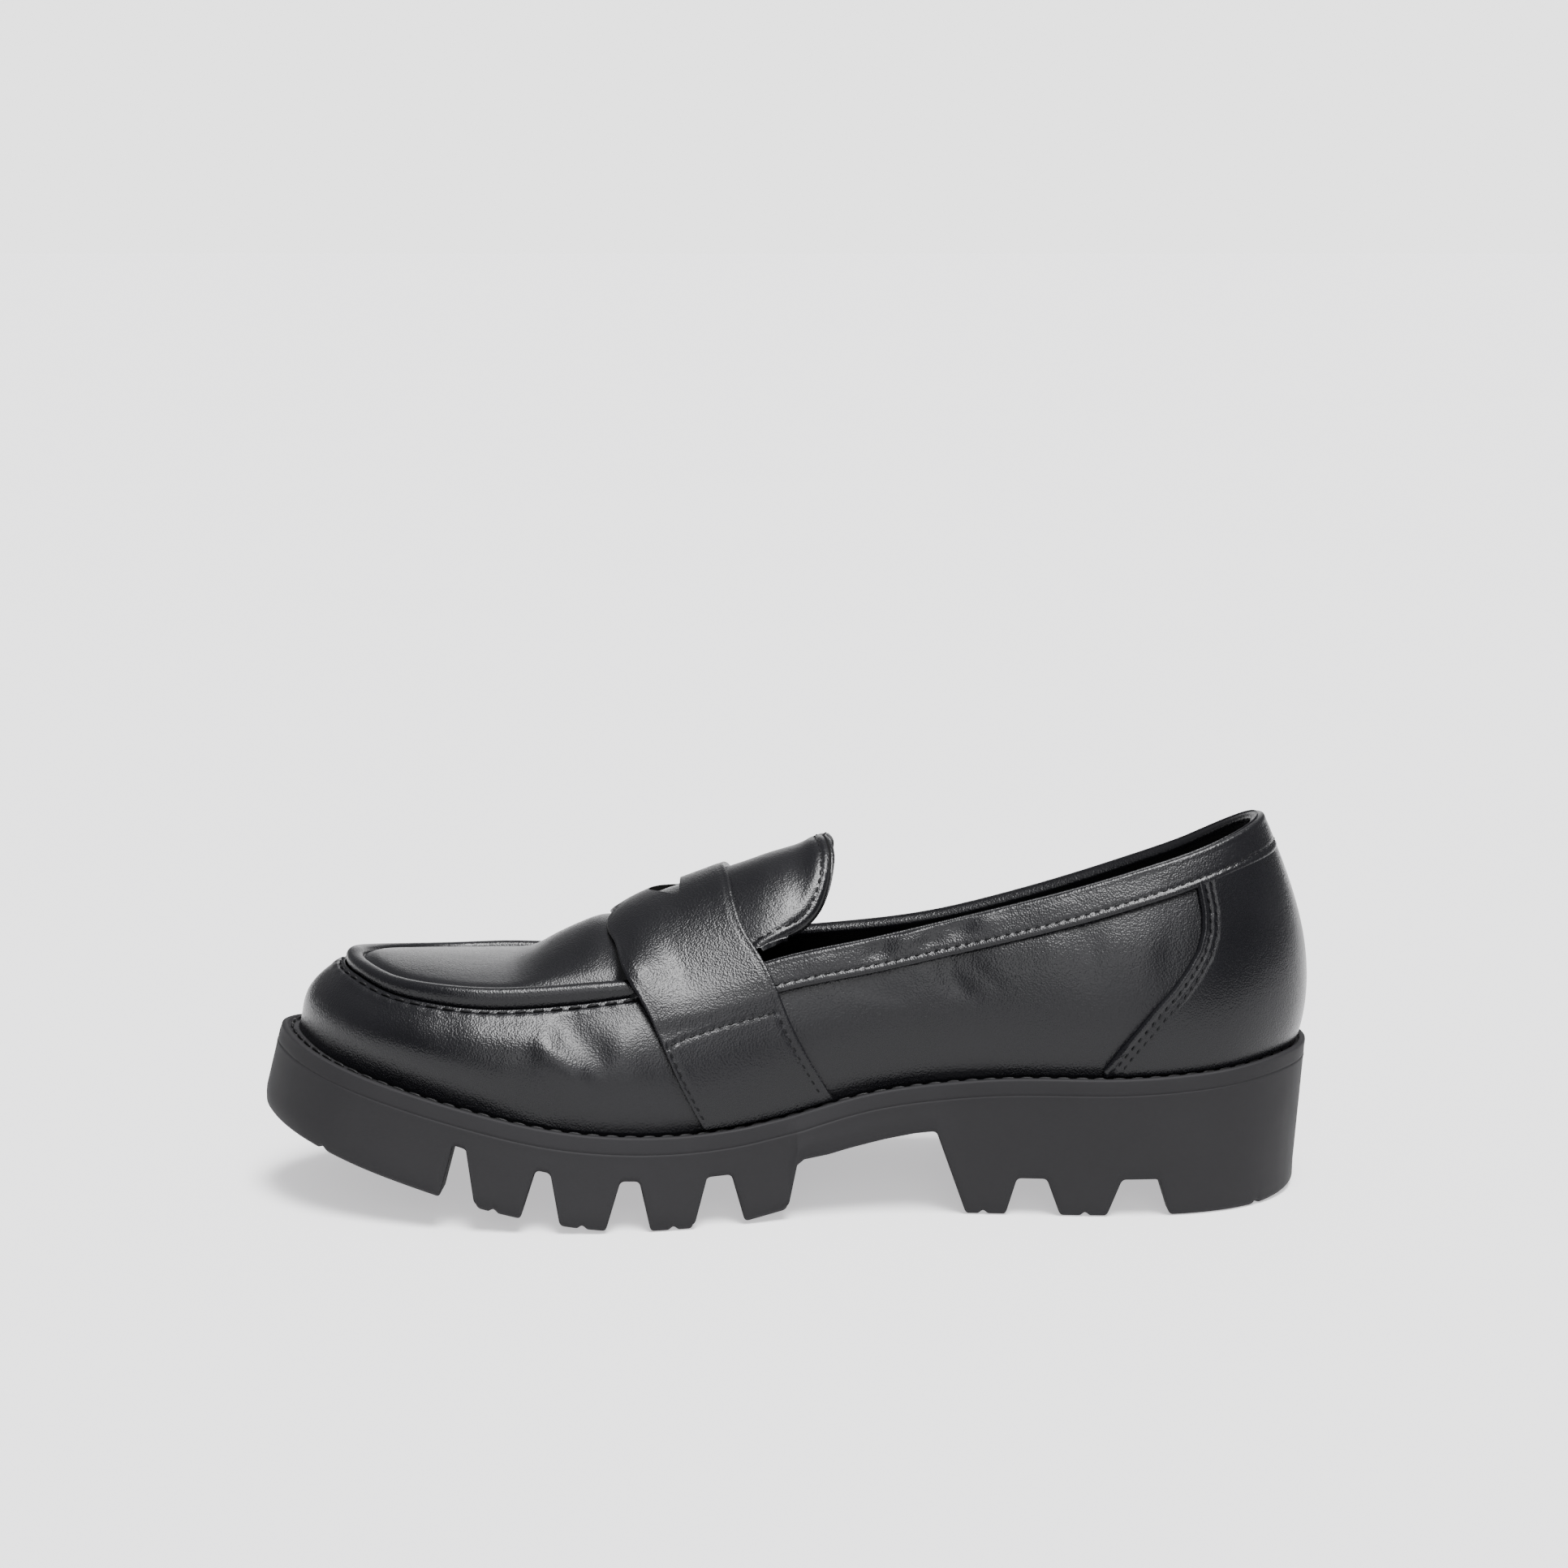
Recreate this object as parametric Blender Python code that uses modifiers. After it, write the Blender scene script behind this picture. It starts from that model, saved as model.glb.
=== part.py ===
"""Chunky lug sole loafer, right foot.

Metres, +Z up. The toe points to -X, the heel to +X, the inner side of the foot to -Y.
Tables and named sizes are in millimetres.
"""
import bpy
import bmesh
import numpy as np
from mathutils import Vector

MM = 0.001
CENTRE = (0.329, -1.039, 0.0)    # middle of the whole shoe's box in the tables' frame, mm

# ---------------------------------------------------------------- named sizes, mm
GAP = 0.35              # space left between two pieces that touch
WALL = 1.7              # leather and lining together
LEDGE_DROP = 1.0        # the ledge inside the rim lies this far under it
FOOT_LIP = 1.2          # upright strip at the wall's foot
INSOLE_THICK = 3.0
TONGUE_THICK = 1.6
OVERLAY_GAP = 0.45      # under strap, counter and band
STRAP_THICK = 1.3
COUNTER_THICK = 1.1
BAND_THICK = 1.1
BAND_TOP_INSET = 0.6    # band stops this far under the top line
MOULD_LINE = 4.3        # height of the rim strip above the mould line
EDGE_ROUND = 1.4        # rounding of the tread's outer edge
BEAD_WIDE = 5.5         # from the moc seam to the apron's edge
BEAD_OVER = 1.0         # bead top above the apron's edge
THROAT_X = -27.0        # the apron ends and the tongue starts here, under the strap
LUG_FOOT = 7.0          # flat underside of a lug, inwards from the rim
LUG_DEPTH = 15.5        # here its inner slope reaches the recessed middle
STRAIGHT_ACROSS = (-5.0, 60.0, 7.0)      # here the tread's sections run straight across the foot, with a soft start
GAPS_ACROSS = (-112.0, -92.0, 100.0, 116.0, 0.8)     # the gaps' walls turn mostly across the foot between the middle two
TREAD_FRONT, TREAD_REAR = -38.0, -18.0   # the forefoot's flat stretch
TOE_SPRING, TOE_POWER = 0.0185, 1.56
SHANK_SPRING, SHANK_POWER = 0.022, 1.6
HEEL_BACK_EASE = 0.004, 122.0            # the heel's last stretch lifts a little

# ---------------------------------------------------------------- sole outline
# a row per section from the heel's back to the tip of the toe
# x, y on the inner side, y on the outer side, rim height, ledge width, flare of the side wall
OUTLINE = (
    (140.0, 0.0, 0.0, 40.2, 4.0, -2.7),
    (135.4, -17.0, 17.0, 40.0, 4.0, -2.3),
    (128.0, -26.0, 26.0, 39.4, 4.0, -1.4),
    (118.0, -33.0, 33.0, 38.3, 4.0, -0.6),
    (105.0, -37.4, 37.5, 37.3, 4.0, 0.0),
    (85.0, -39.5, 39.5, 36.5, 4.0, 0.0),
    (60.0, -37.7, 38.6, 36.3, 3.8, 0.3),
    (40.0, -36.2, 38.0, 34.7, 4.0, 0.6),
    (20.0, -37.0, 39.6, 31.7, 4.0, 1.2),
    (0.0, -40.6, 43.2, 26.6, 4.0, 2.4),
    (-20.0, -46.8, 47.5, 24.0, 4.0, 3.2),
    (-40.0, -51.3, 50.2, 24.1, 4.0, 3.5),
    (-60.0, -52.3, 49.4, 26.1, 4.0, 3.6),
    (-80.0, -50.0, 45.3, 30.1, 4.2, 3.7),
    (-100.0, -44.4, 36.8, 34.8, 4.5, 3.9),
    (-115.0, -37.0, 27.0, 38.7, 4.6, 4.1),
    (-124.6, -29.0, 17.5, 41.6, 4.6, 4.3),
    (-131.6, -18.5, 6.5, 43.9, 4.6, 4.4),
    (-135.0, -6.0, -6.0, 45.0, 4.6, 4.4),
)

# the upper's upper edge in the same sections: moc seam in front, top line behind
# x, y and z on the inner side, y and z on the outer side, bulge of the wall, lean of the bulge, rise of the bead
TOP_EDGE = (
    (126.0, 0.0, 100.7, 0.0, 100.7, 5.9, 0.82, 0.0),
    (122.8, -9.2, 99.2, 9.2, 98.8, 6.0, 0.82, 0.0),
    (116.3, -15.2, 96.7, 15.2, 94.9, 5.8, 0.85, 0.0),
    (107.6, -19.2, 93.6, 19.2, 90.2, 5.7, 0.87, 0.0),
    (96.5, -22.1, 90.3, 22.1, 85.5, 5.6, 0.90, 0.0),
    (79.5, -24.5, 85.5, 24.5, 79.3, 5.6, 0.92, 0.0),
    (57.5, -26.0, 80.0, 26.3, 72.5, 5.2, 0.95, 0.0),
    (39.0, -27.0, 75.7, 27.6, 68.0, 4.8, 0.95, 0.0),
    (20.0, -28.7, 71.6, 29.0, 65.2, 4.6, 1.00, 0.0),
    (1.0, -30.5, 67.9, 30.2, 63.2, 4.6, 1.00, 0.0),
    (-18.5, -33.3, 62.6, 31.8, 60.0, 5.0, 1.00, 0.0),
    (-37.5, -36.2, 58.6, 33.0, 55.8, 5.5, 1.05, 2.4),
    (-56.0, -37.6, 56.4, 34.0, 54.1, 5.8, 1.10, 3.5),
    (-75.0, -38.3, 55.3, 33.8, 54.3, 5.6, 1.15, 3.8),
    (-92.0, -36.0, 56.6, 31.5, 55.0, 5.0, 1.20, 3.1),
    (-105.0, -29.0, 58.4, 25.0, 56.8, 4.5, 1.25, 2.3),
    (-112.5, -21.0, 60.6, 16.5, 59.0, 4.1, 1.30, 1.6),
    (-116.8, -13.0, 61.6, 6.0, 61.0, 3.9, 1.30, 1.4),
    (-118.3, -4.5, 62.1, -4.5, 62.1, 3.9, 1.30, 1.5),
)

# height of the middle of apron and tongue: x, z
CREST = (
    (-112.5, 63.7), (-104.0, 62.7), (-92.0, 62.2), (-80.0, 61.6), (-70.0, 62.0), (-61.0, 65.3),
    (-52.0, 69.2), (-47.0, 72.0), (-42.5, 75.0), (-36.5, 78.0), (-28.0, 81.0), (-16.4, 85.0),
    (-8.3, 86.7), (-3.9, 88.2), (0.4, 90.0), (4.5, 91.9), (7.6, 94.0), (12.0, 97.2),
)

# the tongue's cross-section behind the strap, as the line it would reach at the sides
# x, y and z on the inner side, y and z on the outer side
TONGUE_SIDES = (
    (-6.0, -31.3, 66.3, 31.0, 62.6), (0.0, -31.0, 67.3, 31.0, 65.0),
    (5.6, -31.0, 66.2, 31.0, 65.4), (12.0, -31.0, 64.1, 31.0, 64.1),
)

# the tongue's free edge: share of the way from the middle to the side, x, distance from the middle
TONGUE_EDGE = (
    (0.00, 9.4, 0.0), (0.20, 10.5, 6.6), (0.40, 11.5, 13.4), (0.55, 10.9, 18.8),
    (0.70, 8.2, 23.4), (0.85, 2.2, 27.0), (1.00, -6.6, 29.8),
)

# strap edges: place across (0 at one sole edge, 1 at the seam, 2 in the middle), front x, rear x
STRAP = (
    (0.00, -21.4, 12.4), (0.20, -24.8, 8.4), (0.40, -28.2, 4.6), (0.60, -31.4, 1.0),
    (0.80, -34.8, -2.2), (1.00, -39.0, -5.9), (1.20, -42.4, -10.9), (1.40, -45.2, -13.2),
    (1.65, -46.7, -14.6), (1.82, -46.3, -15.6), (1.94, -43.6, -16.2), (2.00, -42.6, -16.4),
)
STRAP_BOTH = STRAP + tuple((4.0 - row[0], row[1], row[2]) for row in STRAP[-2::-1])

# half-moon slot in the strap: distance from the middle, x of the curved lip
SLOT_STRAIGHT_X = -28.3
SLOT_LIP = ((0.0, -36.8), (4.0, -36.1), (7.5, -34.0), (10.5, -31.6), (13.0, -28.9))

# counter's side seam: height, x
COUNTER_SEAM = ((38.7, 82.6), (43.9, 86.4), (49.3, 90.9), (54.5, 95.3), (59.4, 100.0), (64.1, 103.7),
                (68.8, 106.7), (73.5, 108.2), (78.4, 108.3), (86.0, 107.0))

# depth of the collar band under the top line: x, drop
BAND_DROP = ((-6.0, 8.6), (20.0, 8.9), (60.0, 9.2), (96.0, 9.0), (116.0, 8.9), (128.0, 10.0))

# gaps between the lugs, as x on the inner rim: front foot, front top, rear top, rear foot
LUG_GAPS = (
    (-88.9, -85.4, -81.9, -79.2),
    (-68.0, -64.0, -60.3, -57.9),
    (-46.2, -42.4, -37.6, -34.8),
    (-24.3, -20.4, -14.1, -10.7),
    (57.5, 60.4, 68.1, 71.6),
    (83.8, 87.7, 97.3, 100.3),
)

# depth of the tread between and behind the lugs: x, depth
TREAD_DEEP = ((-140.0, 14.8), (-83.5, 14.2), (-62.0, 13.0), (-40.0, 12.8), (4.8, 12.8), (39.3, 0.0), (56.6, 0.0),
              (59.0, 9.6), (140.0, 9.6))

# underside of the waist, between the last lug and the heel: x, z
WAIST = ((0.2, 2.6), (2.6, 13.9), (4.8, 15.6), (11.0, 16.5), (17.0, 18.0), (26.0, 20.0), (34.0, 21.4),
         (39.3, 21.9), (47.1, 0.0))

# x of the sole's sections, besides those of the gaps
SOLE_SECTIONS = (138.8, 135.4, 130.5, 124.0, 116.0, 108.0, 92.5, 77.6, 64.2, 52.0, 47.1, 39.3, 34.0, 26.0, 17.0,
                 11.0, 4.8, 2.6, 0.2, -5.5, -17.2, -29.5, -40.0, -52.0, -62.2, -73.5, -96.0, -104.0, -111.5,
                 -118.5, -124.5, -129.5, -133.0, -135.0)

COLOURS = {
    "outsole": (0.045, 0.044, 0.046), "insole": (0.030, 0.029, 0.029), "upper": (0.016, 0.016, 0.018),
    "tongue": (0.016, 0.016, 0.018), "strap": (0.018, 0.018, 0.020), "back_counter": (0.017, 0.017, 0.019),
    "collar_band": (0.019, 0.019, 0.021),
}
ROUGHNESS = {"outsole": 0.72, "insole": 0.85, "upper": 0.36, "tongue": 0.38, "strap": 0.36, "back_counter": 0.34,
             "collar_band": 0.38}


# ---------------------------------------------------------------- closed smooth curves through the sections
ROWS = len(OUTLINE)
LAST = ROWS - 1
COUNT = 2 * LAST


def around(inner, outer):
    """Inner side from heel to toe, then the outer side back to the heel, as one closed list."""
    return np.array(list(inner) + list(outer)[LAST - 1:0:-1], float)


rim_x = around([row[0] for row in OUTLINE], [row[0] for row in OUTLINE])
rim_y = around([row[1] for row in OUTLINE], [row[2] for row in OUTLINE])
STEP = np.hypot(np.roll(rim_x, -1) - rim_x, np.roll(rim_y, -1) - rim_y)
KNOT = np.concatenate([[0.0], np.cumsum(STEP)])


def closed_curve(values):
    """A function of the section number, smooth all the way round."""
    before = np.roll(STEP, 1)
    matrix = np.zeros((COUNT, COUNT))
    rate = (np.roll(values, -1) - values) / STEP
    for i in range(COUNT):
        matrix[i, i - 1] = before[i]
        matrix[i, i] = 2 * (before[i] + STEP[i])
        matrix[i, (i + 1) % COUNT] = STEP[i]
    bend = np.linalg.solve(matrix, 6 * (rate - np.roll(rate, 1)))

    def value(section):
        section = np.mod(np.asarray(section, float), COUNT)
        i = np.minimum(section.astype(int), COUNT - 1)
        j = (i + 1) % COUNT
        h = STEP[i]
        b = section - i
        a = 1 - b
        return (a * values[i] + b * values[j]
                + ((a ** 3 - a) * bend[i] + (b ** 3 - b) * bend[j]) * h * h / 6)

    return value


def column(table, inner, outer):
    return closed_curve(around([row[inner] for row in table], [row[outer] for row in table]))


rim_x_at, rim_y_at = closed_curve(rim_x), closed_curve(rim_y)
rim_z_at, ledge_at, flare_at = (column(OUTLINE, k, k) for k in (3, 4, 5))
top_x_at, top_y_at, top_z_at = column(TOP_EDGE, 0, 0), column(TOP_EDGE, 1, 3), column(TOP_EDGE, 2, 4)
bulge_at, lean_at, rise_at = (column(TOP_EDGE, k, k) for k in (5, 6, 7))

_fine = np.linspace(0, LAST, 400)
_fine_x, _fine_z = rim_x_at(_fine)[::-1], rim_z_at(_fine)[::-1]


def rim_height(x):
    return np.interp(x, _fine_x, _fine_z)


def smooth_table(table, x):
    """Value of a two-column table at x, smooth through its rows."""
    xs = np.array([row[0] for row in table])
    ys = np.array([row[1] for row in table])
    slope = np.gradient(ys, xs)
    i = np.clip(np.searchsorted(xs, x) - 1, 0, len(xs) - 2)
    h = xs[i + 1] - xs[i]
    t = np.clip((x - xs[i]) / h, 0, 1)
    return ((2 * t ** 3 - 3 * t ** 2 + 1) * ys[i] + (t ** 3 - 2 * t ** 2 + t) * h * slope[i]
            + (3 * t ** 2 - 2 * t ** 3) * ys[i + 1] + (t ** 3 - t ** 2) * h * slope[i + 1])


def smooth_step(a, b, x):
    t = np.clip((x - a) / (b - a), 0, 1)
    return t * t * (3 - 2 * t)


def other_side(section):
    """The section across from this one: inner 0..LAST, outer COUNT..LAST."""
    return COUNT - section


def section_at_x(x, outer=False):
    """Section number whose rim point has this x."""
    low, high = 0.0, float(LAST)
    for _ in range(40):
        mid = (low + high) / 2
        if rim_x_at(other_side(mid) if outer else mid) > x:
            low = mid
        else:
            high = mid
    return (low + high) / 2


def outward(section):
    e = 1e-3
    tx = rim_x_at(section + e) - rim_x_at(section - e)
    ty = rim_y_at(section + e) - rim_y_at(section - e)
    size = np.hypot(tx, ty)
    return -ty / size, tx / size


def rim_inset(section, inset):
    nx, ny = outward(section)
    return rim_x_at(section) - nx * inset, rim_y_at(section) - ny * inset


# ---------------------------------------------------------------- mesh helpers
def clear_scene():
    for item in list(bpy.data.objects):
        bpy.data.objects.remove(item, do_unlink=True)


def material(name):
    made = bpy.data.materials.new(name)
    made.use_nodes = True
    shader = made.node_tree.nodes["Principled BSDF"]
    shader.inputs["Base Color"].default_value = (*COLOURS[name], 1.0)
    shader.inputs["Roughness"].default_value = ROUGHNESS[name]
    shader.inputs["Metallic"].default_value = 0.0
    return made


def object_from(mesh_builder, name):
    mesh = bpy.data.meshes.new(name)
    mesh_builder.to_mesh(mesh)
    mesh_builder.free()
    item = bpy.data.objects.new(name, mesh)
    bpy.context.scene.collection.objects.link(item)
    mesh.materials.append(material(name))
    for face in mesh.polygons:
        face.use_smooth = True
    return item


def placed(point):
    """Table millimetres to the shoe's own frame in metres."""
    return (Vector(point) - Vector(CENTRE)) * MM


def add_points(builder, points):
    return [builder.verts.new(placed(p)) for p in points]


def add_face(builder, corners):
    kept = []
    for corner in corners:
        if corner not in kept:
            kept.append(corner)
    if len(kept) > 2:
        builder.faces.new(kept)


def skin(builder, rows, closed):
    """Faces between rows of vertices of one length."""
    for low, high in zip(rows, rows[1:]):
        count = len(low)
        for i in range(count if closed else count - 1):
            j = (i + 1) % count
            add_face(builder, (low[i], low[j], high[j], high[i]))


def span(builder, ring, columns, height, flip=False):
    """Fills a closed ring with lines across it, from each inner vertex to the outer one of the same section."""
    half = len(ring) // 2
    lines = []
    for k in range(half + 1):
        a, b = ring[k], ring[-k % len(ring)]
        if a is b:
            lines.append([a] * (columns + 1))
            continue
        line = [a]
        for c in range(1, columns):
            p = a.co.lerp(b.co, c / columns) / MM + Vector(CENTRE)
            line.append(builder.verts.new(placed((p.x, p.y, height(p.x, p.y)))))
        line.append(b)
        lines.append(line)
    for low, high in zip(lines, lines[1:]):
        for c in range(columns):
            corners = (low[c], low[c + 1], high[c + 1], high[c])
            add_face(builder, corners[::-1] if flip else corners)


def outward_normals(builder):
    bmesh.ops.recalc_face_normals(builder, faces=builder.faces[:])


def thicken(item, thickness, offset):
    shell = item.modifiers.new("thickness", "SOLIDIFY")
    shell.thickness = thickness * MM
    shell.offset = offset
    shell.use_even_offset = False
    shell.use_rim = True
    return shell


# ---------------------------------------------------------------- sole
def tread_base(x):
    """Height of the tread, gaps left out."""
    front = TOE_SPRING * np.maximum(0.0, TREAD_FRONT - x) ** TOE_POWER
    rear = SHANK_SPRING * np.maximum(0.0, x - TREAD_REAR) ** SHANK_POWER
    ground = np.where(x < WAIST[0][0], front + rear, 0.0)
    waist = np.interp(x, [row[0] for row in WAIST], [row[1] for row in WAIST])
    ease, start = HEEL_BACK_EASE
    heel = ease * np.maximum(0.0, x - start) ** 2
    return np.where(x < WAIST[0][0], ground, np.where(x < WAIST[-1][0], waist, heel))


def gap_share(x):
    """1 inside a gap between lugs, 0 on a lug."""
    return max(float(np.interp(x, gap, (0.0, 1.0, 1.0, 0.0))) for gap in LUG_GAPS)


def tread_field(x):
    """Height of the recessed middle, which the gaps open into."""
    deep = np.interp(x, [row[0] for row in TREAD_DEEP], [row[1] for row in TREAD_DEEP])
    waist = (x >= WAIST[0][0]) & (x < 47.1)
    return np.where(waist, np.maximum(tread_base(x), np.where(x < 4.8, 15.5, 0.0)), tread_base(x) + deep)


def tread_inset(section, inset, x_name):
    """As rim_inset, but straight across the foot at the waist and nearly so at the gaps."""
    first, last, soft = STRAIGHT_ACROSS
    across = smooth_step(first - soft, first, x_name) * (1 - smooth_step(last, last + soft, x_name))
    toe, ball, heel, back, most = GAPS_ACROSS
    across = max(across, most * smooth_step(toe, ball, x_name) * (1 - smooth_step(heel, back, x_name)))
    nx, ny = outward(section)
    nx, ny = nx * (1 - across), ny * (1 - across) + np.sign(ny) * across
    size = np.hypot(nx, ny)
    return rim_x_at(section) - nx / size * inset, rim_y_at(section) - ny / size * inset


def sole_column(section, x_name):
    """One section's points from the ledge down the side wall and under the tread."""
    z_rim = rim_height(rim_x_at(section))
    flare = flare_at(section)
    base, field = float(tread_base(x_name)), float(tread_field(x_name))
    edge = base + gap_share(x_name) * (field - base)
    waist = 2.6 < x_name < 43.0
    side_foot = max(min(z_rim - MOULD_LINE - 2.0, edge + 6.0 if waist else base + 17.0), edge + EDGE_ROUND + 0.8)
    full = z_rim - base - 4.0

    def out(z):
        return flare * np.clip((z_rim - z) / full, 0, 1)

    points = []
    for inset, z in ((ledge_at(section) - 0.8, None), (0.9, z_rim), (0.0, z_rim - 0.7),
                     (-out(z_rim - MOULD_LINE), z_rim - MOULD_LINE), (-out(side_foot), side_foot),
                     (-out(edge + EDGE_ROUND), edge + EDGE_ROUND)):
        x, y = rim_inset(section, inset)
        points.append((x, y, rim_height(x) - LEDGE_DROP if z is None else z))
    for inset, z in ((EDGE_ROUND - out(edge), edge), (LUG_FOOT, edge), (LUG_DEPTH, field)):
        x, y = tread_inset(section, inset, x_name)
        points.append((x, y, z))
    return points


def make_outsole():
    names = sorted(set(SOLE_SECTIONS) | {x for gap in LUG_GAPS for x in gap[:4]}, reverse=True)
    inner = [0.0] + [section_at_x(x) for x in names] + [float(LAST)]
    outer = [other_side(section_at_x(x, True)) for x in names][::-1]
    labels = [rim_x[0]] + names + [rim_x[LAST]] + names[::-1]
    columns = [sole_column(s, x) for s, x in zip(inner + outer, labels)]
    builder = bmesh.new()
    rows = [add_points(builder, ring) for ring in zip(*columns)]
    skin(builder, rows, True)
    span(builder, rows[0], 2, lambda x, y: rim_height(x) - LEDGE_DROP)
    span(builder, rows[-1], 2, lambda x, y: float(tread_field(x)), flip=True)
    outward_normals(builder)
    return object_from(builder, "outsole")


def make_insole():
    sections = np.concatenate([np.linspace(0, LAST, 25), other_side(np.linspace(0, LAST, 25))[-2:0:-1]])
    builder = bmesh.new()
    rows = []
    for lift in (GAP, GAP + INSOLE_THICK):
        x, y = rim_inset(sections, ledge_at(sections) + WALL + 0.5)
        rows.append(add_points(builder, zip(x, y, rim_height(x) - LEDGE_DROP + lift)))
    skin(builder, rows, True)
    for row, lift in zip(rows, (GAP, GAP + INSOLE_THICK)):
        span(builder, row, 2, lambda x, y, lift=lift: rim_height(x) - LEDGE_DROP + lift)
    outward_normals(builder)
    return object_from(builder, "insole")


# ---------------------------------------------------------------- upper
def wall(section, v):
    """Point on the lasted wall: v is 0 at the ledge and 1 at the seam or top line."""
    foot_x, foot_y = rim_inset(section, ledge_at(section))
    foot_z = rim_height(foot_x) - LEDGE_DROP + GAP + FOOT_LIP
    nx, ny = outward(section)
    swell = bulge_at(section) * np.sin(np.pi * np.clip(v, 0, 1) ** lean_at(section))
    x = foot_x + (top_x_at(section) - foot_x) * v + nx * swell
    y = foot_y + (top_y_at(section) - foot_y) * v + ny * swell
    z = foot_z + (top_z_at(section) - foot_z) * v
    return np.stack(np.broadcast_arrays(x, y, z), -1)


def bead_strength(section):
    """The moc bead fades out where the strap covers it."""
    return 1.0 - smooth_step(-44.0, -38.5, top_x_at(section))


def bead(section, across, height):
    """Point of the bead: across from the seam inwards, height as a share of the bead's top."""
    nx, ny = outward(section)
    strength = bead_strength(section)
    x = top_x_at(section) - nx * across * strength
    y = top_y_at(section) - ny * across * strength
    z = top_z_at(section) + height * strength
    return np.stack(np.broadcast_arrays(x, y, z), -1)


def apron_edge(section):
    return bead(section, BEAD_WIDE, rise_at(section))


def apron(section, s):
    """Point of the apron: s runs from -1 at the inner edge to 1 at the outer edge of one section."""
    inner, outer = apron_edge(section), apron_edge(other_side(section))
    share = (np.asarray(s) + 1)[..., None] / 2
    p = inner * (1 - share) + outer * share
    middle = (inner + outer) / 2
    crown = smooth_table(CREST, middle[..., 0]) - middle[..., 2]
    width = np.linalg.norm(outer - inner, axis=-1)
    crown = crown * smooth_step(0.0, 14.0, width)
    p[..., 2] += crown * (1 - np.asarray(s) ** 2)
    return p


def over(section, place):
    """Across the whole foot: place 0 and 4 at the ledge, 1 and 3 at the seams, 2 in the middle."""
    section, place = np.broadcast_arrays(np.asarray(section, float), np.asarray(place, float))
    far = other_side(section)
    low = wall(section, np.clip(place, 0, 1))
    high = wall(far, np.clip(4 - place, 0, 1))
    mid = apron(section, np.clip(place - 2, -1, 1))
    return np.where((place < 1)[..., None], low, np.where((place > 3)[..., None], high, mid))


def lifted(surface, a, b, lift, flip=1.0):
    """Points of a surface moved along its outward normal."""
    e = 2e-3
    da = surface(a + e, b) - surface(a - e, b)
    db = surface(a, b + e) - surface(a, b - e)
    normal = np.cross(db, da) * flip
    normal /= np.maximum(np.linalg.norm(normal, axis=-1, keepdims=True), 1e-9)
    return surface(a, b) + normal * np.asarray(lift)[..., None]


def make_upper():
    throat = section_at_top_x(THROAT_X)
    inner = np.concatenate([np.linspace(0, throat, 22)[:-1], np.linspace(throat, LAST, 20)])
    outer = other_side(inner)[-2:0:-1]
    sections = np.concatenate([inner, outer])
    first = 21
    builder = bmesh.new()
    foot = wall(sections, 0.0)
    foot[:, 2] -= FOOT_LIP
    rows = [add_points(builder, foot)]
    for v in (0.0, 0.10, 0.24, 0.40, 0.56, 0.71, 0.86, 1.0):
        rows.append(add_points(builder, wall(sections, v)))
    skin(builder, rows, True)
    # bead and apron run from the throat on the inner side round the toe to the throat on the outer side
    front = sections[first:len(sections) - first + 1]
    tops = rows[-1][first:len(sections) - first + 1]
    strands = [tops]
    top_height = rise_at(front) + BEAD_OVER
    for across, share in ((-0.3, 0.36), (1.1, 0.86), (3.1, 1.0)):
        strands.append(bead(front, across, share * top_height))
    strands.append(apron_edge(front))
    kept = [strands[0]]
    hide = bead_strength(front) < 0.02
    for strand in strands[1:]:
        kept.append([top if gone else builder.verts.new(placed(p))
                     for p, gone, top in zip(strand, hide, tops)])
    skin(builder, kept, False)
    half = len(front) // 2
    shares = np.linspace(-1, 1, 13)
    lines = []
    for k in range(half + 1):
        a, b = kept[-1][k], kept[-1][-1 - k]
        if a is b:
            lines.append([a] * len(shares))
        else:
            points = apron(front[k], shares)
            lines.append([a] + add_points(builder, points[1:-1]) + [b])
    for low, high in zip(lines, lines[1:]):
        for c in range(len(shares) - 1):
            add_face(builder, (low[c], low[c + 1], high[c + 1], high[c]))
    outward_normals(builder)
    item = object_from(builder, "upper")
    face_out(item)
    thicken(item, WALL, -1.0)
    return item


def section_at_top_x(x, outer=False):
    low, high = 0.0, float(LAST)
    for _ in range(40):
        mid = (low + high) / 2
        if top_x_at(other_side(mid) if outer else mid) > x:
            low = mid
        else:
            high = mid
    return (low + high) / 2


def face_out(item):
    """An open shell's normals all point away from the inside of the foot."""
    mesh = item.data
    centre = Vector((0.0, 0.0, 50.0)) * MM
    score = sum((face.center - Vector((face.center.x, 0.0, centre.z))).dot(face.normal) * face.area
                for face in mesh.polygons)
    if score < 0:
        mesh.flip_normals()


# ---------------------------------------------------------------- tongue
_behind = np.linspace(-45.0, -8.0, 40)
_at = np.array([section_at_top_x(x) for x in _behind])
_sides_x = np.concatenate([_behind, [r[0] for r in TONGUE_SIDES]])
_sides = [np.concatenate([values, [r[k] for r in TONGUE_SIDES]]) for k, values in (
    (1, top_y_at(_at)), (2, top_z_at(_at)), (3, top_y_at(other_side(_at))), (4, top_z_at(other_side(_at))))]


def instep(x, y):
    """Height of the smooth surface that apron, strap and tongue share over the instep."""
    inner_y, inner_z, outer_y, outer_z = (np.interp(x, _sides_x, values) for values in _sides)
    share = (y - inner_y) / (outer_y - inner_y)
    crown = smooth_table(CREST, x) - (inner_z + outer_z) / 2
    return inner_z + (outer_z - inner_z) * share + crown * (1 - (2 * share - 1) ** 2)


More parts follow.
